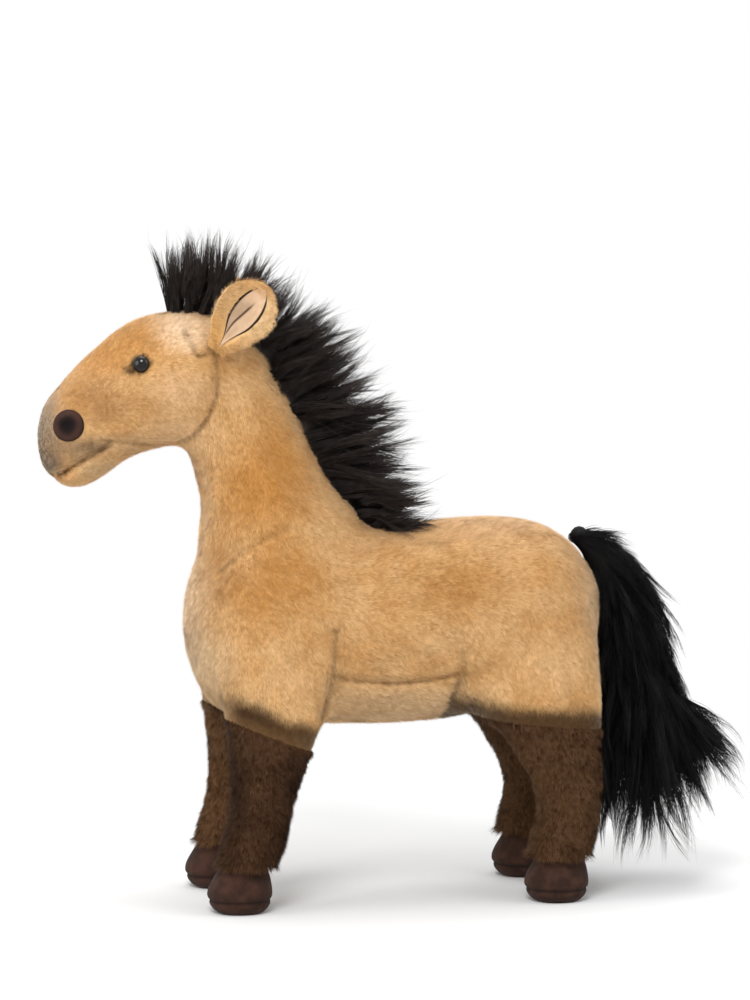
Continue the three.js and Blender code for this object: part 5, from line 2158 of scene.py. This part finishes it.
@dataclass
class Studio:
    """Camera, floor, soft lights and white surroundings."""

    target: Place = (-0.0054, 0.0, 0.1725)
    azimuth: float = -11.5
    elevation: float = 5.0
    distance: float = 1.7
    lens: float = 141.1
    sensor: float = 36.0
    clip: tuple[float, float] = (0.05, 50.0)
    floor_size: float = 6.0
    fade: tuple[float, float] = (0.2, 0.46)
    aim: Place = (0.0, 0.0, 0.12)
    lamp_table: tuple[tuple[str, Place, float, float], ...] = (
        # name, place and width in metres, power in watts
        ("key_lamp", (-0.6, -1.64, 1.8), 0.95, 33.0),
        ("fill_lamp", (1.4, -0.9, 1.3), 1.4, 9.0),
        ("top_lamp", (0.1, 0.4, 1.9), 1.6, 16.0),
        ("left_lamp", (-1.9, -0.7, 0.8), 1.5, 17.0),
    )

    def build(self) -> None:
        """Makes the camera, the floor, the lamps and the world."""
        scene = bpy.context.scene
        scene.view_settings.view_transform = "Standard"
        self.camera(scene)
        self.floor()
        self.lamps()
        self.world(scene)

    def back(self) -> Array:
        """Gives the direction from the target to the camera."""
        turn, rise = math.radians(self.azimuth), math.radians(self.elevation)
        return np.array((math.sin(turn) * math.cos(rise), -math.cos(turn) * math.cos(rise), math.sin(rise)))

    def camera(self, scene: Scene) -> None:
        """Sets the camera at the photograph's viewing angle.

        Args:
            scene: The scene that it shows.
        """
        data = bpy.data.cameras.new("camera")
        data.lens = self.lens
        data.sensor_width = self.sensor
        data.clip_start, data.clip_end = self.clip
        camera = bpy.data.objects.new("camera", data)
        scene.collection.objects.link(camera)
        back = Vector(self.back())
        camera.location = Vector(self.target) + back * self.distance
        camera.rotation_euler = back.to_track_quat("Z", "Y").to_euler()
        scene.camera = camera

    def floor(self) -> None:
        """Makes the pale floor, which fades into the white surroundings."""
        half = self.floor_size / 2
        corners = np.array(((-half, -half, 0), (half, -half, 0), (half, half, 0), (-half, half, 0)))
        mesh = build_mesh("floor", corners, np.array([[0, 1, 2, 3]]))
        material, board = new_material("Studio floor")
        place = board.place()
        length = board.vector("LENGTH", place).outputs["Value"]
        far = board.ramp(length, *self.fade)
        white = board.add("ShaderNodeEmission", {"Color": (1, 1, 1, 1), "Strength": 1.0})
        grain = board.ramp(board.noise(place, 900.0, 2.0), 0.3, 0.7)
        paper = board.mix(grain, (0.80, 0.80, 0.80, 1), (0.82, 0.82, 0.82, 1))
        matt = board.add("ShaderNodeBsdfPrincipled", {"Base Color": paper, "Roughness": 0.9, "Specular IOR Level": 0.1})
        share = board.maths("MULTIPLY", far, board.seen_directly())
        blend = board.add("ShaderNodeMixShader", {0: share, 1: matt.outputs[0], 2: white.outputs[0]})
        board.add("ShaderNodeOutputMaterial", {"Surface": blend.outputs[0]})
        show("floor", mesh, material)

    def lamps(self) -> None:
        """Hangs large soft lamps: a key above the front left, a fill at the right, one on top and one at the left."""
        for name, place, size, power in self.lamp_table:
            data = bpy.data.lights.new(name, "AREA")
            data.shape = "DISK"
            data.size = size
            data.energy = power
            lamp = bpy.data.objects.new(name, data)
            bpy.context.scene.collection.objects.link(lamp)
            lamp.location = place
            lamp.rotation_euler = (Vector(place) - Vector(self.aim)).to_track_quat("Z", "Y").to_euler()

    def world(self, scene: Scene) -> None:
        """Surrounds the scene with white that the camera sees and a softer light on the object.

        Args:
            scene: The scene that it lights.
        """
        world = bpy.data.worlds.new("studio")
        scene.world = world
        world.use_nodes = True
        board = Board(world.node_tree)
        white = board.add("ShaderNodeBackground", {"Color": (1, 1, 1, 1), "Strength": 1.0})
        soft = board.add("ShaderNodeBackground", {"Color": (1, 1, 1, 1), "Strength": 0.6})
        blend = board.add("ShaderNodeMixShader", {0: board.seen_directly(), 1: soft.outputs[0], 2: white.outputs[0]})
        board.add("ShaderNodeOutputWorld", {"Surface": blend.outputs[0]})


def main() -> None:
    """Builds and dresses every piece in order."""
    logging.basicConfig(level=logging.INFO, format="%(name)s: %(message)s")
    airbrush_group()
    pile_tone_group()
    nap_group()
    Studio().build()
    pelt = Pelt()
    pieces = pelt.build()
    pieces += Hooves().build()
    pieces += Ears().build()
    pieces += Eyes().build()
    pieces += Nostrils().build(pelt.skin)
    pieces += Mane().build(pelt.skin)
    pieces += Tail().build()
    for piece in pieces:
        LOG.info("%s: %d faces", piece.name, len(piece.data.polygons))


if __name__ == "__main__":
    main()
